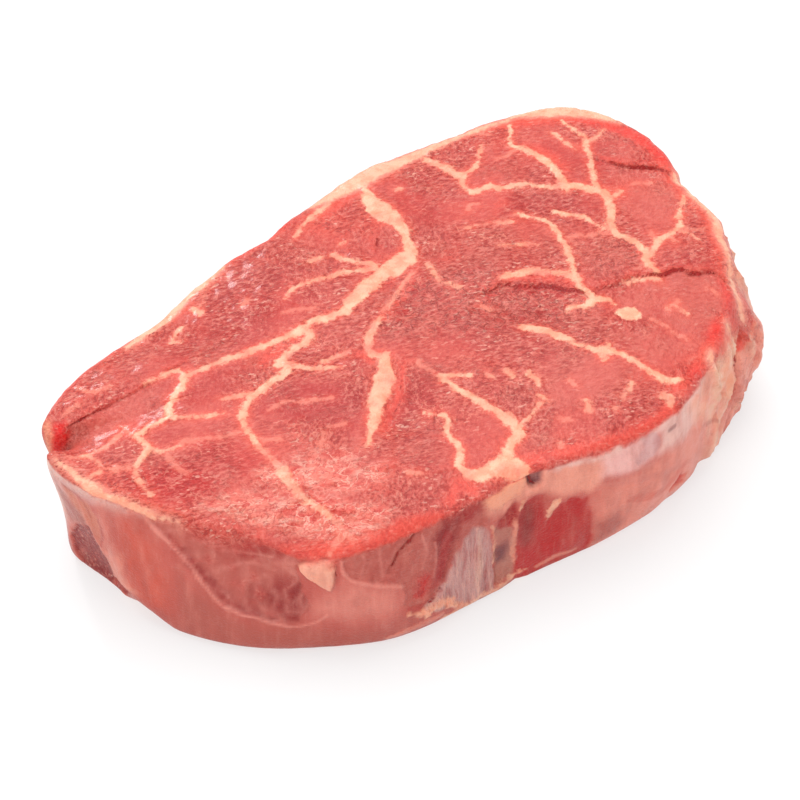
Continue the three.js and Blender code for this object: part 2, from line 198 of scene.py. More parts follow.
    (0.8, [(20, 1.6, 0.5), (23, 1, 1.1), (26.4, -0.6, 1.6), (29.4, -3.2, 1.3), (31.4, -6, 1.4),
        (32, -9, 0.8)]),
    (0.6, [(-27.8, -24.5, 0.9), (-26.3, -25.6)]),
]
PALE_SPOT = [
    (31.5, -20.5), (32.2, -19.9), (34, -20.2), (35.5, -21.5), (35.2, -23.3), (33.8, -24.5),
    (32.3, -23.7), (31.4, -22),
]

# Fat along the rim of the cut face
RIM_FAT = [
    [(-75.4, 22, 0.4), (-74.4, 18, 1.4), (-74, 14, 2.4), (-73.5, 11), (-72, 7, 2), (-70.5, 4),
        (-68.5, 0, 1.2), (-66.6, -3, 0.5)],
    [(-46, 38.4, 1), (-38, 40.8, 2.4), (-30, 42.2, 2.8), (-23, 43.2, 2.6), (-17, 43.6, 1.4)],
    [(8, 45.4, 1.5), (14, 45.6, 3.5), (20, 45, 5), (26, 44.6, 4.4), (32, 43.6, 3.2), (38, 42.6, 2.4),
        (44, 41.4, 1.6), (50, 39.8, 1.2), (57, 38, 0.8)],
    [(58, 38.2, 1), (61, 37.4, 2), (65.6, 34.8, 4), (69.6, 31.8, 4.4), (73, 27.4, 3.8), (74.8, 22.4, 1.2)],
    [(71.4, 1.8, 1), (70.2, -3.4, 2.4), (68.4, -8.4, 3.2), (66.6, -13, 2.8), (63.4, -18, 1.8),
        (61, -23, 1.2), (58, -28.4, 1.2), (54.4, -33.6, 1.4)],
    [(48.2, -35.4, 1), (47.9, -36.6, 2), (48.1, -37.6, 1.4)],
    [(39, -39.4, 1.2), (37.8, -40.6, 2), (38.1, -41.9, 2), (37, -42.6, 1.2)],
]

# Painted glow where light soaks through beside fat and along the rim, as strokes of saturated red
PAINTED_GLOWS = [
    [(-55.5, -21, 2), (-52, -24, 3), (-49, -26.5, 4), (-42, -30.5, 5), (-36, -32.5, 4), (-30, -35, 3)],
    [(-10, -3, 1.2), (-16, -8, 2), (-20, -10.5, 1.8), (-24, -13, 1.2)],
    [(-8, -36.6, 2.6), (-3, -39, 3), (3, -41.8, 3), (9, -44.2), (16, -45.4, 3), (22, -45.2)],
    [(26.3, -41.8, 3), (27.3, -42.4, 3)],
    [(-26, -34, 2.4), (-22, -32, 3), (-21, -35, 3)],
    [(46, 40.5, 2), (52, 39, 2.4), (58, 36, 4), (63, 34, 5), (67.6, 29.5, 4), (70.4, 25, 4), (73, 18, 4),
        (73, 10, 4), (70.6, 2, 5), (69, -4, 5), (66.5, -10, 4), (63.5, -17, 4), (60, -22, 4),
        (57.5, -26, 3)],
    [(50, -34.5, 3), (44, -37, 4), (39, -39, 3), (33, -41, 3)],
    [(-14, 6, 1.6), (-14, 2, 1.6)],
    [(-4, 9.8, 1.2), (0, 10.5), (3, 12), (6, 13.5), (9, 15), (10, 16, 1.2)],
    [(-30, 16, 1.4), (-24, 17, 2), (-19, 17, 1.4)],
    [(-73, 29, 3), (-71, 28.6, 3)],
    [(8, 42, 3), (14, 42, 3), (22, 43, 2.4), (30, 42, 2)],
    [(-70, 34, 2), (-60, 38, 2.4), (-47, 40, 2), (-36, 41, 2), (-22, 43, 2), (-8, 44, 2), (4, 45, 2)],
    [(53.6, 17, 2), (54.4, 22, 2.4), (54.2, 26, 2)],
    [(17, 0.8, 1), (21, 0.8, 1.2), (25, -1.6, 1.2), (29, -5, 1.2), (31.4, -9, 1.2)],
]

# The reddest red: along the rims the deepest of the painted glow, and an island of red muscle inside the fat
REDDEST = [
    [(66, 31, 1), (70.4, 25, 2.4), (73, 18, 3), (73, 10, 3), (71, 4, 2)],
    [(55.5, -27.6, 1.4), (53.5, -30, 2.6), (51, -32.6, 1.8)],
    [(49, -33.6, 1.4), (45, -35.4, 3), (42, -36.6, 2)],
    [(27.6, -41.2, 1.4), (30.4, -41.6, 2.6), (33, -41, 1.4)],
    [(-1, 17, 1), (3, 16.8, 1.8), (6, 17, 1)],
]

# Deeper and duller muscle, with painted glow and painted shade in a few, as (colour name, strength, points
# with widths)
PATCHES = [
    # painted glow along the left rim
    ("painted_glow", 0.4, [(-72, 18, 3), (-70, 8, 4), (-66, 0, 4), (-61, -9, 4), (-57, -13.5, 4)]),
    ("ember", 0.8, [(-66, 8, 5), (-62, 4, 8), (-59, 0, 6), (-58, -5, 4)]),
    ("blood", 0.8, [(10.5, 13.4, 1.2), (6, 11.2, 2), (1, 8.8, 2), (-4, 6, 2.2)]),
    # painted shade below the step of the arched crack
    ("ember", 0.6, [(16, -0.4, 1.4), (21, -2.4, 2.2), (26, -6, 2.6), (29, -10.5, 1.6)]),
    ("ember", 0.5, [(60, 15.5, 2), (64, 11.5, 2.4), (68.5, 7.5, 2.4)]),
    ("ember", 0.4, [(-52, 6, 5), (-50, 0, 7), (-49, -4, 4)]),
    ("deep", 0.6, [(-28, 24, 5), (-20, 26, 7), (-12, 24, 5)]),
    ("deep", 0.7, [(-36, 6, 5), (-30, 2, 10), (-24, -3, 7)]),
    ("deep", 0.5, [(-34, -4, 4), (-28, -7, 5)]),
    ("deep", 0.5, [(30, 36, 5), (24, 32, 8), (24, 26, 6)]),
    ("deep", 0.4, [(4, -4, 8), (14, -8, 10), (22, -12, 8)]),
    ("deep", 0.4, [(60, 12, 5), (64, 16, 6)]),
    ("deep", 0.35, [(34, -28, 6), (44, -27, 9), (54, -20, 6)]),
    ("deep", 0.45, [(-52, 22, 4), (-47, 18, 5), (-42, 18, 5), (-36, 16.5, 5)]),
    ("deep", 0.4, [(-58, 15, 2.5), (-55, 13, 3)]),
    ("deep", 0.45, [(-37, 7, 4), (-30, 3, 8), (-24, -2, 5)]),
    # painted shade in the hollow below the fat lens
    ("deep", 0.6, [(-20, -12, 4), (-14, -11, 6), (-9, -9, 4)]),
    ("dull", 0.6, [(-68, 24.6, 4), (-60, 24.4, 4), (-50, 23.6, 3)]),
    ("deep", 0.35, [(-40, 29, 5), (-28, 31, 7), (-12, 34, 6)]),
    ("deep", 0.4, [(56, 25, 4), (57, 19, 5), (56, 15, 3)]),
    ("deep", 0.4, [(40, 16, 5), (44, 12, 5), (50, 6, 4)]),
    ("dull", 0.7, [(62, 2, 6), (60, -4, 9), (66, 0, 5)]),
    ("dull", 0.8, [(36, -20, 6), (46, -26, 14), (50, -28, 9)]),
    ("dull", 0.6, [(30, -30, 8), (38, -33, 9)]),
    ("dull", 0.6, [(3, -24, 8), (12, -28, 12), (18, -33, 8)]),
    ("dull", 0.5, [(22, -18, 6), (27, -24, 6)]),
    ("dull", 0.6, [(36, 4, 8), (42, -6, 9)]),
    ("dull", 0.5, [(66, 12, 6), (62, 9, 5)]),
    ("dull", 0.5, [(22, 10, 8), (30, 12, 6)]),
]

# The wet film that lies over the cut face at the narrow end, painted pale: partly the film's own tone and
# partly painted sheen
WET_STROKES = [
    [(-60, -4, 1.6), (-56, -8, 4), (-51, -14, 6), (-46, -20.5, 7), (-42.5, -25, 6), (-38, -27, 4)],
    [(-49, -6, 2), (-44, -10, 5), (-38, -16, 6), (-33, -20, 4)],
    [(-41, -8.5, 2), (-37, -11, 3), (-33, -13.6, 2)],
]

# Where the muscle is crazed into small cells
CRAZED = [
    [(-4, 6, 6), (4, 4, 12), (12, -2, 14), (20, -8, 12), (26, -14, 8)],
    [(2, 12, 4), (10, 10, 6), (18, 6, 6)],
    [(40, -8, 6), (46, -9, 8)],
]

# The tip of the back muscle and the red below it
TIP_FOOT = [(-73, 29.6, 1.4), (-71.4, 29.2, 2.6), (-69.4, 29, 1.4)]
TIP = [(-73.4, 30.6, 1.6), (-72.4, 31.8, 2), (-70.8, 32.8, 1.2)]

# Slow clouds of tone, as (colour name, size in mm, layers, seed, low, high, strength)
CLOUDS = [
    ("bright", 14, 2, 101, 0, 0.7, 0.6),
    ("deep", 7, 3, 103, 0.1, 0.9, 0.4),
    ("dull", 10, 2, 107, 0.1, 0.8, 0.35),
]

# Where the muscle is smooth
CALM = [
    [(62, 4, 8), (60, -4, 10), (66, 0, 6)],
    [(36, -20, 6), (46, -26, 14), (50, -28, 10)],
    [(24, -34, 6), (38, -33, 10), (44, -30, 10)],
    [(56, 27, 5), (58, 20, 7), (66, 14, 6)],
    [(40, 26, 8), (34, 20, 6), (28, 24, 6)],
    [(-57, 14, 4), (-50, 10, 6), (-44, 16, 5)],
    [(-68, 24, 5), (-62, 23.4, 6), (-54, 22.6, 6), (-47, 22, 4)],
    [(-36, 5, 6), (-28, 2, 8)],
    [(18, -30, 7), (8, -30, 5)],
]

# Cracks of the cut face, which steps down towards its low side, with painted shade in them and painted glow
# on their high lip, as (depth, points with widths)
CRACKS = [
    (0.6, [(-68.6, 28.3, 0.3), (-67, 28.1, 0.6), (-65.5, 28, 0.9), (-63, 27.6), (-60, 27.3, 0.6),
        (-57, 26.8), (-52, 26.6), (-50, 26.4, 0.3)]),
    (0.6, [(-45, 27, 0.4), (-43, 26.6), (-40, 26.2), (-37, 26.1), (-33, 25.8), (-29, 26, 0.3)]),
    (1.0, [(60.6, 16.6, 0.3), (62, 14, 0.5), (63, 12), (64, 10.2), (66, 8, 1), (68, 6.5, 1), (69.5, 4.8),
        (70.2, 3, 0.6), (70.6, 1.6, 0.3)]),
    (1.0, [(32.4, -13.2, 0.4), (35.8, -14.2, 0.7), (38, -15), (41, -15.2, 0.4), (44, -16.6, 0.9), (46, -18),
        (48, -18.8, 1.1), (50, -20.2), (51, -22), (53, -23.3, 0.9), (55.5, -24.5), (57, -27, 0.4)]),
    (0.8, [(13.6, 1.2, 0.3), (15, 1, 0.5), (17, 0.5), (20, 0, 0.9), (22, -2), (24, -3.5), (26.5, -5.5, 1.5),
        (28.5, -8.5), (30, -11, 1.2), (30.5, -13, 0.5)]),
    (0.5, [(-45.6, -12, 0.3), (-45.6, -15, 0.6), (-45, -17.4, 0.3)]),
    (0.5, [(-41, -13.5, 0.3), (-40.5, -16, 0.5), (-40, -18.7, 0.3)]),
    (0.5, [(-44, -21, 0.3), (-42, -24, 0.6), (-41, -25, 0.3)]),
    (0.5, [(-32.8, -18.6, 0.3), (-31, -21, 0.6), (-28.8, -21.5, 0.3)]),
    (0.6, [(8.2, 25.4, 0.6), (10.6, 27.6, 1)]),
    (0.5, [(3, 28.5, 0.3), (2.3, 26, 0.6), (3.5, 25, 0.3)]),
    (0.5, [(29.7, -21.6, 0.4), (29, -24.6, 0.8)]),
    (0.4, [(31.2, -20.4, 0.4), (31, -22, 0.5)]),
    (0.25, [(29, -31.8, 0.3), (33, -30, 0.3)]),
    (0.35, [(-27.5, -25.6, 0.3), (-24, -27.6, 0.4), (-21, -29, 0.3)]),
    (0.5, [(-67.5, 10, 0.4), (-68, 7.5, 0.7), (-69.5, 5, 0.3)]),
    (0.4, [(-64.5, 10.5, 0.3), (-66, 7, 0.5), (-67, 3.5, 0.3)]),
    (0.5, [(-11.5, -3.5, 0.4), (-16, -8.8, 0.7), (-20.5, -11.6, 0.6), (-25, -14, 0.3)]),
    (0.4, [(33, -11, 0.6), (33.4, -12.8, 0.8)]),
    (0.3, [(-57.5, -7, 0.3), (-55.5, -9.5, 0.5)]),
]

# Areas of the side, as (colour, film share, depth, softness of its edge, corners by (s, z))
SIDE_AREAS = [
    ("blush", 1, 0, 3, [(25, 25), (31, 22), (35, 14), (36, 6), (31, 5), (26, 6), (24.5, 14)]),
    ("tan", 1, 0, 2.5, [(20, 15), (24.5, 15), (25, 9), (28, 6.5), (25, 4), (20.5, 4), (19.5, 10)]),
    ("film_low", 1, 0, 3, [(38, 15), (50, 8), (70, 5), (84, 4), (84, -1), (38, -1)]),
    ("film_pale", 1, 0, 3, [(62, 12), (66, 16), (70, 19.5), (80, 15.5), (80, 10), (70, 9)]),
    ("frost", 0.5, 0, 3, [(3, 31), (1.5, 22), (5, 21), (9, 24), (13, 26.5), (22, 26.8), (28, 28.4),
        (28, 31)]),
    ("frost", 0.5, 0, 3, [(5, 12), (5, 20), (9, 23), (12, 23), (10.5, 16), (8, 12), (6, 8)]),
    ("brown", 1, 0.1, 0.7, [(11.8, 26), (14, 25.2), (17, 24.6), (19.5, 22), (20, 18), (19, 14.5),
        (17.4, 16.4), (15.5, 18), (13, 20.5)]),
    ("smoke", 0.8, 0.2, 1, [(10.2, 24), (12.5, 22), (15.5, 18.5), (17, 16.8), (14, 15.5), (11.5, 13.5),
        (9.5, 14)]),
    ("maroon", 0.3, 0.5, 0.5, [(16.6, 17.3), (14, 15.5), (12, 14), (10, 11), (8.3, 7.5), (8.2, 4.5), (9, 2),
        (12, -1), (18.5, -1), (19.4, 5), (19.2, 8.5), (18.7, 12), (17.8, 15)]),
    # painted shadow in the recess above the lifted hem
    ("crack", 0.5, 0.8, 0.5, [(18.5, -1), (19.2, 3.2), (21.4, 4.8), (24, 5.2), (26.3, 5), (24.5, 2.5),
        (22.5, -1)]),
    ("lens", 0.95, 0.4, 0.35, [(28.5, 28), (30, 26.3), (33, 24), (36, 22), (38, 20.4), (40, 18.8),
        (41.5, 16.6), (43, 15.1), (45, 13), (47, 11.3), (50, 10.3), (54, 9.8), (57, 8.6), (58.5, 8.3),
        (60.5, 9), (62, 10.5), (62.8, 12.5), (62.5, 14.5), (61.5, 16.5), (61, 19), (60.5, 21.5), (60.3, 24),
        (58, 31), (45, 32), (30, 31)]),
    ("maroon", 0.95, 0, 0.8, [(36, 21.6), (41.8, 16.4), (45.3, 12.8), (50, 10.2), (57, 8.6), (61, 9.4),
        (62.4, 12), (62, 15), (60.6, 18), (59, 16), (60, 12), (57, 10.6), (51, 11.8), (46.6, 14),
        (43, 17.6), (38, 22)]),
    ("maroon", 0.95, 0, 3, [(50, 15), (54, 17), (60, 18.5), (61.5, 15), (62, 12), (59, 9.4), (54, 10.4),
        (50, 11.4)]),
    ("lens_red", 0.95, 0, 2.5, [(40, 26), (44, 23), (48, 20), (55, 22), (58, 25), (56, 28), (42, 28)]),
    ("lens", 0.8, 0.3, 0.35, [(67.6, 30), (69, 22.5), (70.5, 20.7), (73, 19.2), (76, 18), (79, 16.6),
        (81, 15.6), (81.6, 14), (82, 12), (81.5, 10.5), (82.5, 9), (84.5, 8.3), (86, 7.4), (88, 9.2),
        (89.7, 10.2), (91, 11.7), (92, 14), (93.5, 17.5), (95, 20), (97, 22.2), (99.5, 21.5), (100, 23.5),
        (99.5, 31), (85, 32)]),
    ("lens_red", 0.8, 0, 1.5, [(90, 29), (91, 25), (95, 24.5), (98, 25), (100.3, 22), (100.5, 29)]),
    ("maroon", 0.8, 0.2, 1.5, [(88, 24), (91, 27), (94.5, 27), (93.5, 21), (92, 15.5), (90, 11.5),
        (87.5, 11), (88.5, 17)]),
    ("ember", 0.6, 0.1, 0.8, [(84, 16), (87.5, 15.5), (87.5, 12), (85.5, 10), (83.7, 11), (84.5, 13.5)]),
    ("tan", 1, -0.1, 1.5, [(99.6, 24), (104, 21.5), (108, 22.3), (113.5, 22.5), (118, 19.5), (124, 19),
        (127, 23), (126, 31), (99.5, 31)]),
    ("fat_orange", 0, -0.2, 1, [(99.6, 31), (99.9, 25.5), (101.5, 24), (105, 23.4), (108.5, 24),
        (109.6, 27), (109.5, 31)]),
    ("salmon", 1, 0, 3, [(124, -1), (124.5, 19), (140, 21), (160, 21), (160, -1)]),
    ("film_low", 1, 0.1, 2, [(125, 9), (131, 10), (133, 5), (131, 2), (125, 2)]),
    ("lilac", 1, 0, 1.5, [(125.5, 31), (125.5, 22), (131, 20.5), (139, 21.5), (138, 25), (142, 27.5),
        (142, 31)]),
    ("veil", 1, 0, 2, [(139, 22), (146, 20), (156, 21), (159, 25), (158, 31), (142, 31)]),
    ("peach", 1, 0, 2, [(149, 27), (160, 28), (166, 26), (172, 24.5), (174, 21.5), (170, 17), (168, 10),
        (163, 9), (158, 14), (152, 20)]),
    ("fat_orange", 0, -0.2, 1.5, [(162, 23.5), (165, 25), (170, 24), (172.6, 22), (170.5, 18), (168.5, 13),
        (166, 13), (163, 18)]),
    ("rose", 0.6, 0, 2, [(171, 18), (176, 19.5), (186, 20), (200, 20), (203, 12), (198, 0), (165, 0),
        (168, 8), (170, 13)]),
    ("orange", 0.6, 0, 0.7, [(175.5, 21), (177, 22.2), (180, 23.4), (184.5, 24), (187, 23.5), (186, 21),
        (181, 19.6), (177, 19.6)]),
    ("orange", 0.6, -0.3, 0.8, [(188.8, 17), (194, 17), (194.8, 10), (195.4, 4), (193.4, 3.4), (190.2, 9)]),
    ("fat_orange", 0, 0, 1, [(186, 31), (187, 26), (192, 24.5), (200, 25.5), (210, 26.5), (222, 28),
        (222, 31)]),
    ("lens_red", 0.7, 0.4, 0.6, [(102, 17.9), (103.4, 20.5), (105.4, 21.8), (107.2, 22.4), (107.8, 20),
        (106.8, 17.5), (104, 17.4)]),
    ("red", 0.92, 0.4, 0.6, [(106.6, -1), (106.7, 9), (107, 14), (107.6, 18), (108.5, 20.5), (110, 21.6),
        (112, 22.3), (113.8, 21.5), (114, 18), (113.9, 15.5), (115.3, 16.3), (117, 17.6), (119, 18.6),
        (121, 18.1), (122.6, 17), (123.6, 14), (124.1, 10), (124.4, 5), (124, -1)]),
    ("plum", 0.92, 0.1, 1.5, [(107.3, 13), (107.8, 18), (109.3, 20.6), (111.5, 20.5), (111.5, 14),
        (109.5, 9)]),
    ("blood", 0.92, 0, 2, [(108, 9), (116, 8), (117, 4), (113, 2), (109, 2)]),
    ("veil", 1, -0.1, 0.8, [(113, 31), (114, 27.8), (125, 27), (134, 27.4), (145, 27.2), (155, 27.6),
        (158, 31)]),
    ("silver", 1, -0.1, 0.35, [(97, 22.2), (95, 20.2), (93.6, 17.6), (92.2, 14.5), (91, 11.8), (89.6, 10.2),
        (87.5, 8.6), (85.5, 7.2), (88, 5.5), (92, 3.8), (95, 2), (102.3, 1.4), (102.2, 6), (102, 10),
        (101.6, 14), (101, 18), (100, 20.6), (98.5, 21.8)]),
    ("grey", 1, 0.7, 0.6, [(102.2, 17.5), (103, 18), (106, 17), (106.7, 13), (106.8, 8), (106.5, 3),
        (102.5, 2.5)]),
    ("dusk", 1, 0.1, 1, [(102.8, 13), (105, 13.3), (105.5, 11.5), (104.5, 8), (102.6, 7)]),
    # painted shade in the dark hole under the rim
    ("dusk", 1, 0.5, 0.6, [(109.7, 29), (110, 26), (111, 24.6), (112.4, 25), (113, 27), (113, 29)]),
    ("ember", 1, 1.0, 0.8, [(147.2, 9.6), (145.8, 7.5), (145.4, 5.2), (147, 5), (149, 5.2), (148.5, 7.5)]),
]

# Fat that stands out of the side, as (colour, height, softness, corners)
SIDE_FAT = [
    ("peach", 0.9, 0.35, [(60.5, 23), (63, 24.2), (65.5, 24.6), (67.2, 24.4), (67.7, 22.5), (67.5, 19.5),
        (66.9, 17.5), (65.6, 18.6), (64.3, 19.5), (62.5, 20.4), (61.2, 22.2)]),
    ("cream", 0.7, 0.35, [(173.5, 24.8), (175, 25.4), (175.6, 23.6), (174, 21.4), (172.2, 20.9),
        (172.3, 22.9)]),
    ("cream", 0.9, 0.35, [(160, 21.5), (161, 24), (160.5, 26), (161, 28.7), (163.8, 28.9), (162.4, 27),
        (161.9, 25.5), (161.2, 23)]),
]

# Where the red of the cut face hangs over the rim, with painted glow where light soaks through the rim's
# edge
RIM_PAINTED_GLOW = [
    [(26, 29.5, 1), (32, 28.2, 1.8), (38, 27.4), (44, 27, 2), (50, 26.6), (56, 26.2, 2.4), (60, 25.6),
        (66, 26.4, 2), (72, 27, 1.6), (78, 27.8, 1.6), (84, 28.6, 1.4), (92, 29.4, 0.8)],
    [(130, 29.4, 0.6), (140, 29.4, 1), (148, 29.4, 1.8), (154, 29.4, 1.2), (162, 28.6, 0.8)],
    [(163, 27.6, 1), (167, 27, 2.2), (171, 26.4, 2.4), (175, 25, 1.4), (180, 27.6, 1.6), (188, 28.6, 1.6)],
]

# How high the side's lower edge stands off the board, as (s, mm)
HEM = [
    (0, 0), (23, 0), (25, 1), (28, 2.4), (32, 2), (35, 0.8), (37, 0), (104, 0), (107, 0.8), (110, 0),
    (142, 0), (146, 0.8), (149, 0.2), (153, 1.2), (156, 2.4), (160, 1.4), (163, 0.2),
    (166, 0.8), (170, 1.4), (176, 1.2), (182, 0.6), (186, 0),
]
HEM_TOP = 9  # how high the side moves with its edge
HEM_FADE = (-10, -1.5)  # how far in under the steak the lift reaches, as distances inside the outline

# Crumbs of fat along the foot of the narrow end's front
CRUMBS = [(83, 7.4, 1.4), (86, 6.3, 2.2), (89, 6.8, 2.5), (91.5, 5.5, 2.2), (94, 3.2, 1.6), (96.5, 2, 1.2)]

# Pale edges and streaks of the side, as (colour name, strength, points with widths)
SIDE_LINES = [
    ("edge", 0.8, [(28, 27.8, 0.6), (30, 26.1), (33, 23.8), (36, 21.7), (38, 20.1), (40, 18.4),
        (41.5, 16.2), (43, 14.7), (45, 12.6), (47, 10.9), (50, 9.9), (54, 9.3), (57, 8.2), (60, 7.6, 0.5),
        (63, 8.2), (65, 9), (66.3, 11, 0.3)]),
    ("shade", 0.35, [(29, 27.6, 0.8), (36, 22.6), (41, 18), (46, 13, 1), (50, 11, 0.6)]),
    ("edge", 0.5, [(38, 24.6, 0.4), (44, 23.4), (50, 22.6), (55, 23.4, 0.4)]),
    ("edge", 0.5, [(41.4, 27, 0.4), (42, 24), (43.6, 21.4, 0.4)]),
    ("edge", 0.45, [(47, 19.6, 0.4), (51, 20.6), (56, 20.2, 0.3)]),
    ("edge", 0.4, [(72, 26, 0.5), (73, 23), (72.4, 20, 0.4)]),
    ("edge", 0.4, [(76, 26.4, 0.5), (76.4, 22), (77, 18.6, 0.4)]),
    ("edge", 0.5, [(85.4, 25.4, 0.6), (86.4, 21), (85.4, 17.6, 0.4)]),
    ("edge", 0.45, [(88.4, 22.6, 0.6), (88.6, 18), (88, 14, 0.4)]),
    ("shade", 0.5, [(12, 25.6, 0.5), (15.4, 25.3), (17.6, 21, 0.4)]),
    ("shade", 0.5, [(19.6, 21.6, 0.4), (20.2, 17), (19.4, 14, 0.5)]),
    ("cream", 0.35, [(20.6, 13, 0.5), (21.4, 12), (21, 9), (21.8, 7, 0.6)]),
    ("edge", 0.75, [(68.6, 24, 0.5), (69, 22.2), (70.5, 20.3), (73, 18.8), (76, 17.5), (79, 16.2),
        (81, 15.2, 0.6)]),
    ("edge", 0.5, [(14.5, 25, 0.5), (16, 20), (17.5, 16.4), (18.9, 13.8, 0.5)]),
    ("edge", 0.4, [(8, 8, 0.6), (10, 11.6), (12, 14.5), (14, 16.2, 0.5)]),
    ("cream", 0.9, [(114.2, 15, 0.6), (114.9, 17, 1.7), (116.2, 18.8, 1.3)]),
    ("cream", 0.6, [(106.7, 6, 0.4), (106.4, 11, 0.7), (106.8, 18, 0.6)]),
    ("cream", 0.8, [(108.2, 20.6, 1), (108.8, 21.8, 0.8)]),
    ("cream", 0.7, [(101.6, 20, 0.6), (102, 16), (102.2, 9, 0.5)]),
    ("cream", 0.8, [(174.8, 22.3, 0.9), (177, 23.2, 1.2), (180, 24.3, 1.4), (182, 25), (185, 26.2),
        (188, 27.2, 1.2)]),
    ("cream", 0.8, [(174.5, 22.2, 1.2), (172.4, 19), (170.3, 16), (169, 12), (168.6, 9, 0.8)]),
    ("edge", 0.5, [(134, 18.8, 0.4), (135.5, 20, 0.6), (137.5, 20.1, 0.4)]),
    ("edge", 0.7, [(113.6, 28.9, 0.7), (120, 29.1), (127, 28.9), (133, 28.7), (140, 28.9, 0.6)]),
    ("cream", 0.5, [(78, 2, 1), (84, 3, 1.8), (90, 3.3, 1.2)]),
    ("cream", 0.7, [(90, 1.6, 0.8), (95, 1.3, 1.3), (99, 1.9, 1), (103, 1.5, 1.4), (106, 2.6, 0.9),
        (109, 3, 0.6)]),
    ("tan", 0.6, [(112, 2.2, 0.8), (116, 2.8, 1.2), (121, 2.6, 0.8)]),
    # painted glow along the broad end's rim
    ("painted_glow", 0.9, [(176, 20.6, 2.4), (180, 22.3, 3), (184.5, 22, 2)]),
    ("fat_orange", 0.6, [(190.5, 15, 3), (192, 9, 5), (194, 4, 3)]),
    ("cream", 0.7, [(188.6, 15, 0.8), (189.6, 10), (191, 6), (193.4, 3, 0.8)]),
    ("cream", 0.8, [(194.6, 16, 0.8), (195.2, 9), (196.6, 3, 1.2)]),
    ("blue", 0.4, [(136.5, 27.4, 3), (137.6, 24.6, 4), (134, 22.8, 2.4)]),
    ("dusk", 0.6, [(142.6, 25.4, 1), (144, 25.6, 1)]),
    ("film_pale", 0.7, [(126, 19.5, 1), (134, 17.5, 2), (142, 14.5), (150, 11, 1)]),
    ("cream", 0.5, [(152, 27, 0.5), (156, 23, 1), (160, 18.5), (165, 13, 0.6)]),
    ("cream", 0.4, [(150, 20, 0.5), (155, 16, 0.8), (161, 10, 0.5)]),
    ("shade", 0.4, [(154, 16.6, 0.6), (159, 13.4, 1), (164, 10, 0.6)]),
    ("cream", 0.5, [(177, 15, 0.6), (181, 11, 1), (186, 5, 0.6)]),
    ("blush", 0.7, [(175, 11, 1), (179, 7.5, 2), (184, 2.5, 1)]),
    ("blush", 0.5, [(133, 12, 2), (141, 9, 3), (147, 12, 3)]),
    ("deep", 0.5, [(84.3, 13.4, 1.6), (85.4, 11.5, 1.2)]),
    ("deep", 0.5, [(88.5, 12, 2), (90.5, 18, 2.6), (91.5, 23, 2)]),
    ("deep", 0.5, [(82.5, 8.8, 0.8), (85, 8.2, 1.4), (88, 9.4, 1)]),
]

# Cracks of the side, with painted shade in them, as (depth, points with widths)
SIDE_CRACKS = [
    (0.8, [(78.3, 20, 0.4), (79.5, 21.5, 0.8), (80.2, 23), (81.5, 24.2, 0.9), (83, 25.7), (84.5, 27.2, 0.7),
        (86.5, 28.2), (90, 28.6, 0.4)]),
    (1.0, [(175.2, 21.5, 0.5), (173.4, 19, 0.9), (172, 17), (171, 15, 1), (170.2, 12.5), (169.9, 10, 0.5)]),
    (0.7, [(175.3, 21.4, 0.5), (178, 22.4, 0.7), (181, 23.8), (184, 24.2, 0.4)]),
    (0.7, [(162.4, 24.6, 0.5), (163, 26, 1.1), (164.4, 27, 0.5)]),
    (0.6, [(60.3, 22.4, 0.3), (61.5, 23.7, 0.5), (64, 24.7), (65.6, 24.8, 0.3)]),
    (0.5, [(67.6, 24.4, 0.3), (67.9, 22, 0.5), (67.7, 20, 0.3)]),
    (0.6, [(85.5, 7.4, 0.5), (88, 8.8, 0.8), (90, 10.4, 0.4)]),
    (0.5, [(19.3, 2, 0.6), (19.5, 6, 0.5), (19.2, 10, 0.3)]),
    (0.4, [(102.4, 3, 0.5), (102.4, 10, 0.6), (102, 16, 0.3)]),
    (0.6, [(110.3, 28.4, 0.6), (110.8, 26, 1), (112, 25, 0.6)]),
]

# Colours, as seen under the studio's light
COLOURS = {
    "muscle": (212, 98, 90),
    "bright": (230, 98, 86),
    "deep": (186, 66, 66),
    "dull": (212, 110, 100),
    # painted glow of light through thin edges of the meat
    "painted_glow": (240, 95, 82),
    "scarlet": (240, 40, 48),
    "fat": (252, 194, 164),
    "fat_orange": (252, 168, 138),
    # painted glow beside fat, where light soaks through its edge
    "halo_glow": (240, 108, 90),
    "shade": (168, 42, 44),
    "fibre": (242, 146, 132),
    # painted glints on wet fibres
    "painted_spark": (255, 196, 176),
    "film": (207, 106, 96),
    "film_low": (186, 100, 90),
    "film_pale": (228, 138, 124),
    "wet": (246, 138, 122),
    # painted glints on the wet film and the side's strands
    "painted_glint": (255, 190, 172),
    "maroon": (150, 44, 44),
    "lens": (196, 106, 96),
    "red": (192, 38, 42),
    "silver": (206, 154, 148),
    "blue": (203, 163, 165),
    "grey": (192, 128, 114),
    "brown": (216, 130, 108),
    "cream": (249, 200, 172),
    "edge": (238, 152, 138),
    "blush": (218, 100, 84),
    "tan": (250, 166, 144),
    "salmon": (240, 146, 128),
    "veil": (248, 196, 184),
    "lilac": (254, 194, 186),
    "frost": (255, 226, 216),
    "peach": (255, 180, 156),
    "orange": (255, 146, 118),
    "rose": (255, 164, 144),
    "smoke": (184, 112, 102),
    "lens_red": (172, 58, 56),
    "ember": (206, 56, 48),
    "plum": (148, 42, 48),
    "blood": (196, 30, 34),
    "dusk": (122, 76, 80),
    # painted shade in cracks and crevices
    "crack": (176, 18, 26),
    "thin": (248, 156, 136),
    # painted contact shadow along the foot of the side
    "hem": (120, 50, 46),
}
GAIN = 0.86  # how much light a surface has to give back to look as bright as its colour
VEIL = 0.04  # the white light that the gloss adds, taken off every colour

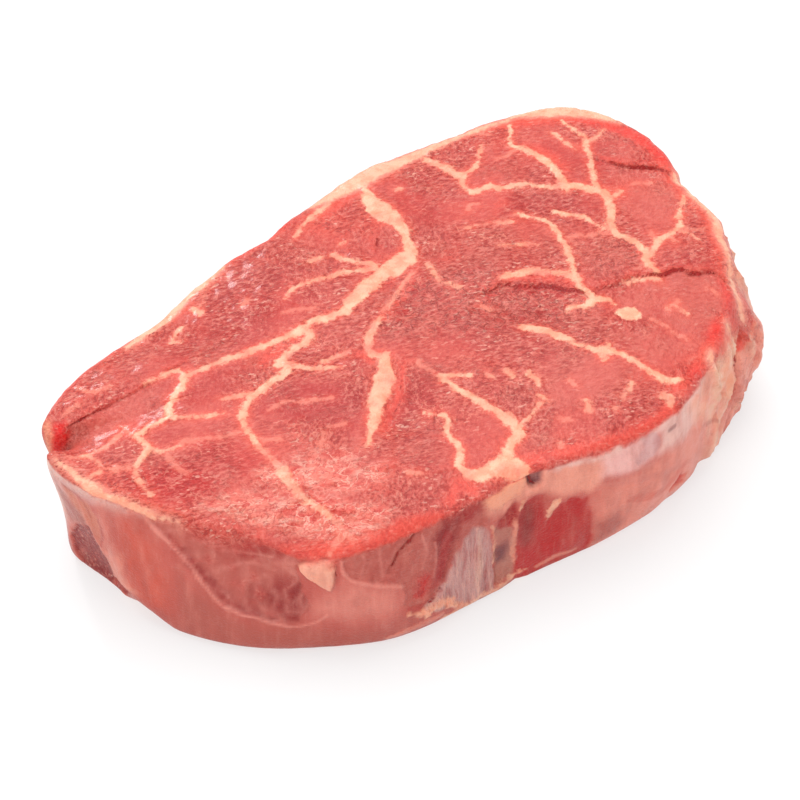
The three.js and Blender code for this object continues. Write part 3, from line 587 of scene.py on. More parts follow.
# Lights
WORLD_LIGHT = 0.72
BOARD_SHADE = 0.32
BOARD_GLOW = 0.61  # the board's own light, which keeps its shadows pale
FLOOR_SIZE = 6.0
LIGHTS = [
    {"name": "softbox", "at": (0.2, 0.5, 1.15), "size": 1.3, "watts": 14},
    {"name": "fill", "at": (-0.9, -0.6, 0.6), "size": 1.0, "watts": 6},
    {"name": "sparkle", "at": (0.3, 0.95, 0.62), "size": 0.12, "watts": 3},
    {"name": "broad end", "at": (0.9, -0.35, 0.35), "size": 0.7, "watts": 1.8},
]


def linear(name):
    """A named colour as the light that it gives back, in linear numbers."""
    shares = np.array(COLOURS[name]) / 255
    low = shares / 12.92
    high = ((shares + 0.055) / 1.055) ** 2.4
    return GAIN * np.maximum(np.where(shares > 0.04045, high, low) - VEIL, 0.002)


def smooth(value, low, high):
    """0 below low and 1 above high, with an even change between."""
    share = np.clip((value - low) / (high - low), 0, 1)
    return share * share * (3 - 2 * share)


# Noise that is the same each run
def scramble(cell, seed):
    """A whole number below 2**30 for each cell of a grid."""
    key = cell[:, 0] * 73856093 ^ cell[:, 1] * 19349663 ^ cell[:, 2] * 83492791 ^ seed * 2654435
    key = (key ^ key >> 13) * 1274126177 & 0xFFFFFFFF
    key = (key ^ key >> 15) * 2246822519 & 0xFFFFFFFF
    return (key ^ key >> 13) & 0x3FFFFFFF


def waves(points, size, seed):
    """Smooth noise from about -1 to 1, whose bumps are about size across."""
    scaled = points / size
    base = np.floor(scaled).astype(np.int64)
    part = scaled - base
    blend = part**3 * (part * (part * 6 - 15) + 10)
    total = np.zeros(len(points))
    for corner in np.ndindex(2, 2, 2):
        key = scramble(base + corner, seed)
        offset = part - corner
        slope = np.stack([key & 1023, key >> 10 & 1023, key >> 20 & 1023], 1) / 511.5 - 1
        weight = np.prod(np.where(corner, blend, 1 - blend), axis=1)
        total += weight * np.sum(slope * offset, axis=1)
    return 1.3 * total


def layers(points, size, count, seed):
    """Noise with count layers, each half as large and half as strong as the last."""
    return sum(waves(points, size / 2**k, seed + k) / 2**k for k in range(count))


def ridges(points, size, seed):
    """Noise with thin high ridges, from 0 to 1."""
    return 1 - np.clip(2 * np.abs(waves(points, size, seed)), 0, 1)


# Strokes and areas on a chart, which holds two measures for each point
def full_line(points, steps=4):
    """A stroke's points with their widths, joined by a smooth curve."""
    given = [k for k, p in enumerate(points) if len(p) > 2]
    widths = np.interp(range(len(points)), given, [points[k][2] for k in given])
    knots = np.array([[p[0], p[1], w] for p, w in zip(points, widths)])
    ends = np.vstack([2 * knots[0] - knots[1], knots, 2 * knots[-1] - knots[-2]])
    line = []
    for a, b, c, d in zip(ends, ends[1:], ends[2:], ends[3:]):
        for t in np.arange(steps) / steps:
            line.append(0.5 * (2 * b + (c - a) * t + (2 * a - 5 * b + 4 * c - d) * t**2
                               + (3 * b - a - 3 * c + d) * t**3))
    return np.array(line + [knots[-1]])


FAR = -9.0  # the value of a point that is far outside a stroke or an area

# The notch beside the tip of the back muscle
NOTCH = [(-76, 30, 5), (-72, 28.4, 4.5), (-67, 27.2, 3)]

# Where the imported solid's grid leaves a crease that the meat doesn't have
CREASED = [(-75, 28.4, 5), (-70, 28, 8), (-65, 27, 8), (-58, 26, 8), (-48, 24.6, 8), (-42, 24.4, 4)]
CREASE_HEIGHT = (16, 22)  # heights over which the evening-out begins
SMOOTHINGS = 70

# Where the outline bulges or is drawn in, as (place, reach, move) by x, y and z
PUSHES = [
    ((-75.6, 23.6, 28), (3.6, 3.6, 14), (0.1, 2.3, 1.2)),
    ((-76, 20, 17), (5, 6, 9), (1.1, 0.2, 0)),
    ((66, -11.5, 27), (5, 5.5, 9), (1.4, -0.6, 0)),
    ((70.8, 0.5, 27), (2, 2, 9), (-1.1, 0.3, 0)),
    ((57.6, -27, 27), (3, 3, 9), (-1.2, 0.6, 0)),
    ((54, -36, 12), (5, 5, 7), (0.8, -0.6, 0)),
    ((-5, 44.5, 27), (4, 4, 9), (0, -0.8, 0)),
    ((-15, 43, 27), (4, 4, 9), (-0.2, 0.6, 0)),
    ((-37, 41, 27), (7, 5, 9), (0.4, -1.2, 0)),
]


def in_stroke(chart, points):
    """How far inside a stroke each point of the chart is, in mm, and which side of it the point is on."""
    line = full_line(points)
    low = line[:, :2].min(0) + FAR
    high = line[:, :2].max(0) - FAR
    near = np.flatnonzero(np.all((chart > low) & (chart < high), axis=1))
    inside = np.full(len(chart), FAR)
    side = np.ones(len(chart))
    if len(near) == 0:
        return inside, side
    spots = chart[near]
    best = np.full(len(near), FAR)
    best_side = np.ones(len(near))
    for start, end in zip(line, line[1:]):
        run = end[:2] - start[:2]
        share = np.clip((spots - start[:2]) @ run / (run @ run), 0, 1)
        gap = spots - start[:2] - share[:, None] * run
        value = 0.5 * (start[2] + share * (end[2] - start[2])) - np.hypot(gap[:, 0], gap[:, 1])
        closer = value > best
        best = np.where(closer, value, best)
        best_side = np.where(closer, np.sign(run[0] * gap[:, 1] - run[1] * gap[:, 0]), best_side)
    inside[near] = best
    side[near] = best_side
    return inside, side


def in_area(chart, corners):
    """How far inside an area each point of the chart is, in mm, and below 0 outside it."""
    corners = np.array(corners, float)
    low = corners.min(0) + FAR
    high = corners.max(0) - FAR
    near = np.flatnonzero(np.all((chart > low) & (chart < high), axis=1))
    value = np.full(len(chart), FAR)
    if len(near) == 0:
        return value
    spots = chart[near]
    distance = np.full(len(near), -FAR)
    within = np.zeros(len(near), bool)
    for start, end in zip(corners, np.roll(corners, -1, axis=0)):
        run = end - start
        share = np.clip((spots - start) @ run / (run @ run), 0, 1)
        gap = spots - start - share[:, None] * run
        distance = np.minimum(distance, np.hypot(gap[:, 0], gap[:, 1]))
        crosses = (start[1] > spots[:, 1]) != (end[1] > spots[:, 1])
        with np.errstate(divide="ignore", invalid="ignore"):
            at = start[0] + (spots[:, 1] - start[1]) * run[0] / run[1]
        within ^= crosses & (spots[:, 0] < at)
    value[near] = np.where(within, distance, -distance)
    return value


def strokes(chart, lines):
    """The farthest that each point is inside any of several strokes."""
    best = np.full(len(chart), FAR)
    for line in lines:
        best = np.maximum(best, in_stroke(chart, line)[0])
    return best


# The mesh
def put(name, data):
    """A new object in the scene."""
    holder = bpy.data.objects.new(name, data)
    bpy.context.scene.collection.objects.link(holder)
    return holder


def welded_squares(node):
    """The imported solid's mesh, with its corners joined and its triangles paired into squares."""
    bm = bmesh.new()
    bm.from_mesh(node.data)
    bmesh.ops.remove_doubles(bm, verts=bm.verts, dist=WELD_REACH)
    bmesh.ops.join_triangles(
        bm, faces=bm.faces, angle_face_threshold=PAIR_ANGLE, angle_shape_threshold=PAIR_ANGLE)
    mesh = bpy.data.meshes.new("squares")
    bm.to_mesh(mesh)
    bm.free()
    return mesh


def rounded(mesh, levels):
    """The mesh rounded by subdivision."""
    piece = put("rounded", mesh)
    modifier = piece.modifiers.new("round", "SUBSURF")
    modifier.levels = levels
    graph = bpy.context.evaluated_depsgraph_get()
    fine = bpy.data.meshes.new_from_object(piece.evaluated_get(graph))
    bpy.data.objects.remove(piece)
    return fine


def places(mesh):
    """Every vertex's place in mm, and its normal."""
    count = len(mesh.vertices)
    spots = np.zeros(count * 3, np.float32)
    mesh.vertices.foreach_get("co", spots)
    normals = np.zeros(count * 3, np.float32)
    mesh.vertices.foreach_get("normal", normals)
    return spots.reshape(-1, 3).astype(float) / MM, normals.reshape(-1, 3).astype(float)


def round_the_side(node):
    """Angles round the solid, in degrees from the start angle, and the length of its outline up to each."""
    tree = BVHTree.FromPolygons([v.co for v in node.data.vertices], [p.vertices for p in node.data.polygons])
    turns = np.arange(OUTLINE_STEPS + 1) * 360 / OUTLINE_STEPS
    spots = []
    for turn in np.radians(turns + START_ANGLE):
        way = Vector((math.cos(turn), math.sin(turn), 0))
        start = OUTLINE_RAY * MM * way + Vector((0, 0, OUTLINE_HEIGHT * MM))
        hit = tree.ray_cast(start, -way)[0]
        spots.append(np.array(hit) / MM)
    steps = np.linalg.norm(np.diff(spots, axis=0), axis=1)
    radii = [math.hypot(x, y) for x, y, _ in spots]
    return turns, np.concatenate([[0], np.cumsum(steps)]), radii


class Surface:
    """The steak's vertices with all that its features need to know about them."""

    def __init__(self, mesh, outline):
        self.spots, self.normals = places(mesh)
        turn = np.degrees(np.arctan2(self.spots[:, 1], self.spots[:, 0])) - START_ANGLE
        turns, lengths, radii = outline
        self.around = np.interp(turn % 360, turns, lengths)
        self.inset = np.interp(turn % 360, turns, radii) - np.hypot(self.spots[:, 0], self.spots[:, 1])
        wobble = np.stack([layers(self.spots, 3.2, 3, seed) for seed in (11, 23)], 1)
        self.face = self.spots[:, :2] + FACE_WOBBLE * wobble
        self.side = np.stack([self.around, self.spots[:, 2]], 1) + SIDE_WOBBLE * wobble
        lean = self.normals[:, 2] + 0.2 * layers(self.spots, 2.4, 2, 37)
        high = smooth(self.spots[:, 2], *UPPER_PART)
        notch = smooth(in_stroke(self.spots[:, :2], NOTCH)[0], -0.5, 0.8) * high
        within = smooth(self.inset, *WELL_WITHIN) * high
        self.up = np.maximum(smooth(lean, *UPPER_LEAN), np.maximum(notch, within))
        self.down = smooth(-lean, *LOWER_LEAN)

    def smoothed(self, mesh):
        """The places of the vertices, evened out where the solid is creased."""
        ends = np.zeros(2 * len(mesh.edges), np.int32)
        mesh.edges.foreach_get("vertices", ends)
        first, last = ends.reshape(-1, 2).T
        count = np.bincount(ends, minlength=len(self.spots))[:, None]
        share = smooth(in_stroke(self.spots[:, :2], CREASED)[0], -1, 1)
        share *= smooth(self.spots[:, 2], *CREASE_HEIGHT)
        spots = self.spots.copy()
        for _ in range(SMOOTHINGS):
            total = np.zeros_like(spots)
            np.add.at(total, first, spots[last])
            np.add.at(total, last, spots[first])
            spots += share[:, None] * (total / count - spots)
        return spots

    def reshape(self, spots):
        """Pushes the outline in and out, and lifts the hem off the board."""
        spots = spots.copy()
        for place, reach, move in PUSHES:
            away = (self.spots - place) / reach
            spots += np.exp(-np.sum(away**2, axis=1))[:, None] * np.array(move)
        hem = np.interp(self.around, *zip(*HEM))
        share = smooth(HEM_TOP - self.spots[:, 2], 0, HEM_TOP) * smooth(-self.inset, *HEM_FADE)
        spots[:, 2] += hem * share
        return spots


def feature_gap(surface):
    """How far each vertex is inside the nearest sharp feature, in mm."""
    cut = strokes(surface.face, [line for _, line in VEINS + CRACKS] + RIM_FAT)
    cut = np.maximum(cut, in_area(surface.face, PALE_SPOT))
    flank = strokes(surface.side, [line for _, _, line in SIDE_LINES] + [line for _, line in SIDE_CRACKS])
    for area in [corners for *_, soft, corners in SIDE_AREAS + SIDE_FAT if soft < 1]:
        flank = np.maximum(flank, -np.abs(in_area(surface.side, area)))
    lean = surface.normals[:, 2]
    on_face = (surface.spots[:, 2] > FACE_HEIGHT) & (lean > FACE_LEAN)
    return np.where(on_face, cut, np.where(np.abs(lean) < SIDE_LEAN, flank, FAR))


def finer_near_features(mesh, outline):
    """Splits the squares nearest to sharp features, as far as the triangles allow."""
    surface = Surface(mesh, outline)
    gap = feature_gap(surface)
    bm = bmesh.new()
    bm.from_mesh(mesh)
    bm.faces.ensure_lookup_table()
    nearest = sorted(bm.faces, key=lambda f: -max(gap[v.index] for v in f.verts))
    room = int((TRIANGLES - 2 * len(bm.faces)) / SPLIT_COST)
    chosen = [f for f in nearest[:room] if max(gap[v.index] for v in f.verts) > -SPLIT_REACH]
    edges = {edge for face in chosen for edge in face.edges}
    bmesh.ops.subdivide_edges(bm, edges=list(edges), cuts=1, use_grid_fill=True)
    fine = bpy.data.meshes.new("steak_surface")
    bm.to_mesh(fine)
    bm.free()
    return fine


# Colour and relief of each vertex
EDGE_REACH = 2.0  # mm outside a vein or a crack where its distance stops counting
SHARES = ("fat", "film", "wet", "calm", "crazed", "strand", "vein", "pale", "crack")


class Finish:
    """What is painted on each vertex: its colour, its relief in mm and its shares for the material."""

    def __init__(self, count):
        self.colour = np.zeros((count, 3))
        self.lift = np.zeros(count)
        for name in SHARES:
            start = -EDGE_REACH if name in ("vein", "crack") else 0.0
            setattr(self, name, np.full(count, start))

    def paint(self, name, share):
        """Lays a share of a named colour over the colour so far."""
        self.colour += share[:, None] * (linear(name) - self.colour)

    def streak(self, noise, share, crest, trough):
        """Paints a noise's crests and its troughs, each by (colour name, strength, low, high)."""
        for way, (name, strength, low, high) in ((1, crest), (-1, trough)):
            self.paint(name, strength * share * smooth(way * noise, low, high))

    def at_least(self, name, values):
        """Raises a share to these values where it is below them."""
        setattr(self, name, np.maximum(getattr(self, name), values))

    def add_vein(self, inside, paleness):
        """Takes in a vein of fat: how far inside it each vertex is, in mm, and how pale it is."""
        nearer = inside > self.vein
        self.pale = np.where(nearer, paleness, self.pale)
        self.vein = np.where(nearer, inside, self.vein)

    def blend(self, other, share):
        """Turns by a share into another finish of the same vertices."""
        for key in ("lift", *SHARES):
            mine = getattr(self, key)
            setattr(self, key, mine + share * (getattr(other, key) - mine))
        self.colour += share[:, None] * (other.colour - self.colour)


def cut_face(spots, chart):
    """The cut face: muscle with veins of fat, films and cracks."""
    made = Finish(len(spots))
    made.paint("muscle", np.ones(len(spots)))
    for name, size, count, seed, low, high, strength in CLOUDS:
        made.paint(name, smooth(layers(spots, size, count, seed), low, high) * strength)
    for name, share, line in PATCHES:
        made.paint(name, share * smooth(in_stroke(chart, line)[0], -2.5, 1.5))
    made.calm = smooth(layers(spots, 13, 2, 109), -0.35, 0.5) * 0.7
    for line in CALM:
        made.at_least("calm", 0.85 * smooth(in_stroke(chart, line)[0], -4, 1))
    made.crazed = 0.5 * smooth(layers(spots, 9, 2, 119), 0.15, 0.5)
    for line in CRAZED:
        made.at_least("crazed", smooth(in_stroke(chart, line)[0], -3, 2))
    made.calm *= 1 - 0.7 * made.crazed
    # painted glow along the rim and beside fat
    for line in PAINTED_GLOWS:
        share = smooth(in_stroke(chart, line)[0], -1.8, 1.4)
        made.paint("painted_glow", 0.7 * share)
        made.at_least("calm", 0.8 * share)
    # the reddest red: the deepest painted glow on the rims, and a red island of muscle
    made.paint("scarlet", 0.5 * smooth(strokes(chart, REDDEST), -1.2, 1.4))
    made.lift += 0.22 * layers(spots, 7, 2, 113) + (0.22 - 0.14 * made.calm) * layers(spots, 2, 3, 127)

    # The wet film, painted pale: partly its own tone and partly painted sheen
    wet = smooth(strokes(chart, WET_STROKES), -2.5, 1.5)
    crinkle = ridges(spots * (1, 1.6, 1), 2.2, 131) ** 2
    made.paint("wet", wet * 0.9)
    made.wet = wet
    made.at_least("calm", 0.7 * wet)
    made.lift += wet * (0.5 * crinkle - 0.2)

    # The tip of the back muscle and the notch beside it
    made.paint("dull", 0.8 * smooth(in_stroke(chart, NOTCH)[0], -1, 0.6))
    made.paint("scarlet", 0.85 * smooth(in_stroke(chart, TIP_FOOT)[0], -1, 0.6))
    made.paint("fat_orange", 0.8 * smooth(in_stroke(chart, TIP)[0], -1, 0.5))

    # Fat, whose veins are uneven in paleness and width
    fading = 0.85 + 0.3 * layers(spots, 4.5, 2, 149)
    swelling = 0.3 * layers(spots, 3.4, 2, 151)
    for share, line in VEINS:
        inside = in_stroke(chart, line)[0]
        # painted glow beside the vein
        made.paint("halo_glow", 0.6 * share * smooth(inside, -2.0, 0.1))
        made.add_vein(inside + 0.2 * (1 - share) + swelling, np.clip(share**0.7 * fading, 0, 1))
        made.lift += 0.12 * share * smooth(inside, -0.6, 0.5)
    made.add_vein(in_area(chart, PALE_SPOT), np.ones(len(spots)))
    for line in RIM_FAT:
        inside = in_stroke(chart, line)[0]
        # painted glow beside the rim's fat
        made.paint("halo_glow", 0.5 * smooth(inside, -2.4, -0.6))
        made.paint("thin", 0.9 * smooth(inside, -1.3, 0.1))
        made.add_vein(inside - 0.2, np.full(len(spots), 0.8))

    # Cracks: painted shade in each crack, and painted glow on its high lip
    for depth, line in CRACKS:
        inside, side = in_stroke(chart, line)
        lip = smooth(inside, -2.0, -0.1) * (side > 0)
        made.paint("painted_glow", 0.4 * depth * lip)
        made.at_least("crack", inside - 0.1 - 0.2 * (1 - min(1, depth)))
        made.lift += depth * (0.4 * lip - 0.2 * smooth(inside, -0.5, 0.3))
    return made


def slanted(around, lean, squeeze):
    """Places round the side, leaning by mm for each mm of height and squeezed in height."""
    return np.stack([around[:, 0] + lean * around[:, 1], squeeze * around[:, 1], around[:, 2]], 1)


def flank(spots, chart):
    """The side: films and a cover of fat over muscle, with bare muscle between them."""
    around = np.stack([chart[:, 0], chart[:, 1], 0.3 * spots[:, 0]], 1)
    made = Finish(len(spots))
    made.paint("film", np.ones(len(spots)))
    made.film[:] = 1
    made.strand[:] = 0.15
    made.paint("film_low", smooth(12 - chart[:, 1] + 5 * waves(spots, 12, 211), 0, 12) * 0.6)
    made.lift += 0.2 * layers(around * (1, 0.4, 1), 6, 2, 229)

    # A paler cover of fat on the broad end and along the far side
    cover = smooth(chart[:, 0] + 3 * waves(spots, 9, 233), 150, 160)
    cover *= smooth(chart[:, 0].max() - chart[:, 0] + 3 * waves(spots, 6, 235), 3, 14)
    made.paint("tan", 0.75 * cover)
    made.paint("fat_orange", cover * 0.55 * smooth(layers(around, 11, 3, 239), -0.1, 0.6))
    made.paint("film", cover * 0.5 * smooth(layers(around, 8, 3, 241), 0.05, 0.6))
    broad = smooth(chart[:, 0], 148, 160) * smooth(-chart[:, 0], -232, -212)
    # folds of the broad end: fat colours painted on their crests, partly the fat's own colour and partly
    # painted highlight
    folds = ridges(around * (1, 0.35, 1) + [0, 0, 3], 5.5, 251)
    made.lift += broad * (1.1 * folds**2 - 0.4)
    made.paint("fat_orange", broad * 0.6 * folds)
    made.paint("fat", broad * 0.4 * folds**3)
    made.at_least("fat", 0.4 * cover)

    # The areas, one over another
    painted = {}
    ragged = 0.35 * layers(spots, 2.2, 3, 253)
    for name, film, depth, soft, corners in SIDE_AREAS:
        share = smooth(in_area(chart, corners) + ragged * min(2, 1 + soft), -soft, soft)
        made.paint(name, 0.95 * share)
        made.film += share * (film - made.film)
        made.fat += share * ((name in ("fat_orange", "frost")) - made.fat)
        made.lift -= share * depth
        painted[name] = np.maximum(painted.get(name, 0), share)

    # Threads of the film at the narrow end, with painted highlights along their crests and painted shade
    # between them
    left = smooth(chart[:, 0], 16, 20) * smooth(-chart[:, 0], -46, -36)
    threads = layers(slanted(around, 0.3, 0.12), 2.4, 3, 223)
    made.streak(threads, left * made.film, ("film_pale", 0.5, 0, 0.6), ("shade", 0.25, 0.1, 0.7))
    # painted light: the film lighter near its left end, s 18 to 26
    made.paint("film_pale", 0.6 * made.film * smooth(-chart[:, 0], -26, -19) * smooth(chart[:, 0], 18, 21))
    made.lift += 0.15 * left * threads
    # streaks of the whole film: paler crests as painted sheen, darker troughs as painted shade
    streaks = layers(around * (1, 0.25, 1), 2.8, 3, 227)
    made.streak(streaks, made.film, ("film_pale", 0.3, 0, 0.8), ("shade", 0.16, 0.1, 0.9))
    made.lift += 0.1 * streaks

    # The web and the strands of the muscles that show through
    web = ridges(around, 4.2, 257) ** 3
    lens = painted["lens"] * (chart[:, 0] < 66)
    made.paint("edge", lens * 0.45 * web)
    strands = layers(slanted(around, -0.5, 0.16), 2.1, 3, 263)
    upper = painted["lens"] * (chart[:, 0] > 66)
    muscle = np.clip(painted["maroon"] + 0.8 * upper + 0.5 * painted["red"], 0, 1)
    made.paint("shade", muscle * 0.35 * smooth(strands, 0, 0.6))
    made.paint("edge", muscle * (1 - painted["red"]) * 0.35 * smooth(-strands, 0.1, 0.7))
    made.lift += muscle * 0.2 * strands

    # Pleats of the broad end: cream crests and blush troughs, partly their own colour and partly painted
    # highlight and shade
    hanging = smooth(chart[:, 0], 154, 162) * smooth(-chart[:, 0], -232, -206)
    pleats = layers(slanted(around, -0.7, 0.22), 3.2, 3, 259)
    made.streak(pleats, hanging, ("cream", 0.65, 0.05, 0.35), ("blush", 0.45, 0.15, 0.5))
    made.lift += hanging * 0.5 * pleats

    # Upright cords of the silverskin: pale crests, and troughs darkened with painted shade between the cords
    silver = painted["silver"]
    cords = layers(around * (1, 0.08, 1) + [0, 0, 7], 1.5, 2, 269)
    made.at_least("strand", silver)
    made.streak(cords, silver, ("cream", 0.3, 0.1, 0.6), ("dusk", 0.35, 0.1, 0.7))
    made.lift += silver * 0.3 * cords

    # Fat that stands out, the red below the rim with its painted glow, and crumbs at the foot
    for name, rise, soft, corners in SIDE_FAT:
        share = smooth(in_area(chart, corners), -soft, soft)
        made.paint(name, share)
        made.at_least("fat", share)
        made.lift += rise * share
    # painted glow where light soaks through the rim's edge
    rim = smooth(strokes(chart, RIM_PAINTED_GLOW) + 2 * ragged, -0.6, 0.6)
    made.paint("painted_glow", rim * (0.6 + 0.3 * strands))
    made.film -= 0.6 * rim * made.film
    made.at_least("calm", rim)
    crumb = smooth(in_stroke(chart, CRUMBS)[0] + 1.4 * layers(spots, 1.8, 2, 277), -0.2, 0.5)
    made.paint("fat_orange", 0.9 * crumb)
    made.paint("cream", 0.8 * crumb * smooth(waves(spots, 1.3, 279), 0, 0.5))
    made.paint("shade", 0.5 * crumb * smooth(-waves(spots, 1.1, 283), 0.2, 0.6))
    made.at_least("fat", crumb)
    made.lift += crumb * (0.3 + 0.5 * waves(spots, 1.1, 281))

    # Lines and cracks
    for name, share, line in SIDE_LINES:
        inside = in_stroke(chart, line)[0]
        if name == "cream":
            made.add_vein(inside, np.full(len(spots), share))
        else:
            made.paint(name, share * smooth(inside, -0.35, 0.3))
        if name in ("cream", "edge"):
            made.lift += 0.2 * share * smooth(inside, -0.5, 0.4)
    # painted shade in the side's cracks
    for depth, line in SIDE_CRACKS:
        inside = in_stroke(chart, line)[0]
        made.at_least("crack", inside - 0.3 * (1 - min(1, depth)))
        made.lift -= 0.8 * depth * smooth(inside, -0.8, 0.3)
    made.lift *= smooth(chart[:, 1], 0, 2.5)
    # painted contact shadow along the side's foot, where it meets the board
    made.paint("hem", 0.75 * smooth(1.5 + 0.7 * waves(spots, 5, 287) - chart[:, 1], 0, 1.4))
    return made


def write_attribute(mesh, name, values):
    """Writes a number or a colour for each vertex, which the material reads by its name."""
    kind = "FLOAT_COLOR" if values.ndim == 2 else "FLOAT"
    layer = mesh.attributes.new(name, kind, "POINT")
    if values.ndim == 2:
        flat = np.hstack([values, np.ones((len(values), 1))])
        layer.data.foreach_set("color", flat.astype(np.float32).ravel())
    else:
        layer.data.foreach_set("value", values.astype(np.float32))


def finished_steak(node):
    """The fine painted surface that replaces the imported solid."""
    outline = round_the_side(node)
    mesh = finer_near_features(rounded(welded_squares(node), ROUNDINGS), outline)
    surface = Surface(mesh, outline)
    made = flank(surface.spots, surface.side)
    made.blend(cut_face(surface.spots, surface.face), np.clip(surface.up + surface.down, 0, 1))
    made.lift *= 1 - surface.down
    spots = surface.smoothed(mesh) + surface.normals * made.lift[:, None]
    spots = surface.reshape(spots)
    spots[:, 2] = np.maximum(spots[:, 2], 0)
    mesh.vertices.foreach_set("co", (spots * MM).astype(np.float32).ravel())
    write_attribute(mesh, "tone", np.clip(made.colour, 0, 1))
    for name in SHARES:
        write_attribute(mesh, name, getattr(made, name))
    mesh.polygons.foreach_set("use_smooth", np.ones(len(mesh.polygons), bool))
    mesh.update()
    return put("steak_surface", mesh)


# Materials
class Nodes:
    """Makes and links the nodes of one material."""

    def __init__(self, name):
        self.material = bpy.data.materials.new(name)
        self.material.use_nodes = True
        self.tree = self.material.node_tree
        self.shader = self.tree.nodes["Principled BSDF"]

    def link(self, source, target):
        self.tree.links.new(source, target)

    def fill(self, node, values):
        for key, value in values.items():
            if isinstance(value, bpy.types.NodeSocket):
                self.link(value, node.inputs[key])
            else:
                node.inputs[key].default_value = value

    def attribute(self, name, output="Fac"):
        node = self.tree.nodes.new("ShaderNodeAttribute")
        node.attribute_name = name
        return node.outputs[output]

    def place(self):
        node = self.tree.nodes.new("ShaderNodeTexCoord")
        return node.outputs["Object"]

    def stretched(self, vector, turn, longer):
        """The vector made longer by three numbers along axes that are turned about z, in degrees."""
        node = self.tree.nodes.new("ShaderNodeMapping")
        node.vector_type = "TEXTURE"
        self.fill(node, {"Vector": vector, "Rotation": (0, 0, math.radians(turn)), "Scale": longer})
        return node.outputs["Vector"]

    def noise(self, vector, size, detail=2.0, roughness=0.5, output="Fac"):
        """Noise whose bumps are size metres across."""
        node = self.tree.nodes.new("ShaderNodeTexNoise")
        self.fill(node, {"Vector": vector, "Scale": 1 / size, "Detail": detail, "Roughness": roughness})
        return node.outputs[output]

    def lines(self, value, width):
        """Thin lines, with soft edges, where a noise passes its middle."""
        level = self.math("ABSOLUTE", self.centred(value))
        return self.ramp(level, 0.0, width, 1.0, 0.0)

    def warped(self, vector, size, amount):
        """The vector moved about by noise, by about an amount in metres."""
        node = self.tree.nodes.new("ShaderNodeVectorMath")
        node.operation = "MULTIPLY_ADD"
        self.fill(node, {0: self.noise(vector, size, 2.0, 0.5, "Color"), 1: [5 * amount] * 3, 2: vector})
        return node.outputs[0]

    def cells(self, vector, size):
        """How far a place is from the nearest border of cells of about this size, as a share of the size."""
        node = self.tree.nodes.new("ShaderNodeTexVoronoi")
        node.feature = "DISTANCE_TO_EDGE"
        self.fill(node, {"Vector": vector, "Scale": 1 / size})
        return node.outputs["Distance"]

    def both(self, *shares):
        """Shares multiplied together."""
        total = shares[0]
        for share in shares[1:]:
            total = self.math("MULTIPLY", total, share)
        return total

    def math(self, operation, first, second=0.0):
        node = self.tree.nodes.new("ShaderNodeMath")
        node.operation = operation
        self.fill(node, {0: first, 1: second})
        return node.outputs[0]

    def number(self, share, first, second):
        """A number between two others."""
        node = self.tree.nodes.new("ShaderNodeMix")
        self.fill(node, {"Factor": share, 2: first, 3: second})
        return node.outputs[0]

    def ramp(self, value, low, high, to_low=0.0, to_high=1.0):
        """A smooth change from to_low to to_high while the value goes from low to high."""
        node = self.tree.nodes.new("ShaderNodeMapRange")
        node.interpolation_type = "SMOOTHSTEP"
        self.fill(node, {"Value": value, 1: low, 2: high, 3: to_low, 4: to_high})
        return node.outputs[0]

    def mix(self, share, first, second):
        """A colour between two others."""
        node = self.tree.nodes.new("ShaderNodeMix")
        node.data_type = "RGBA"
        self.fill(node, {"Factor": share, 6: first, 7: second})
        return node.outputs[2]

    def tint(self, colour, name, *shares):
        """The colour with a share of a named colour over it."""
        return self.mix(self.both(*shares), colour, opaque(name))

    def plus(self, value, *shares):
        """The value with the product of the shares added."""
        return self.math("ADD", value, self.both(*shares))

    def centred(self, value):
        """A noise with its middle at 0."""
        return self.math("SUBTRACT", value, 0.5)

    def bump(self, height, distance):
        node = self.tree.nodes.new("ShaderNodeBump")
        self.fill(node, {"Height": height, "Distance": distance})
        return node.outputs["Normal"]


def opaque(name):
    """A named colour with its fourth number, as a socket takes it."""
    return (*linear(name), 1)


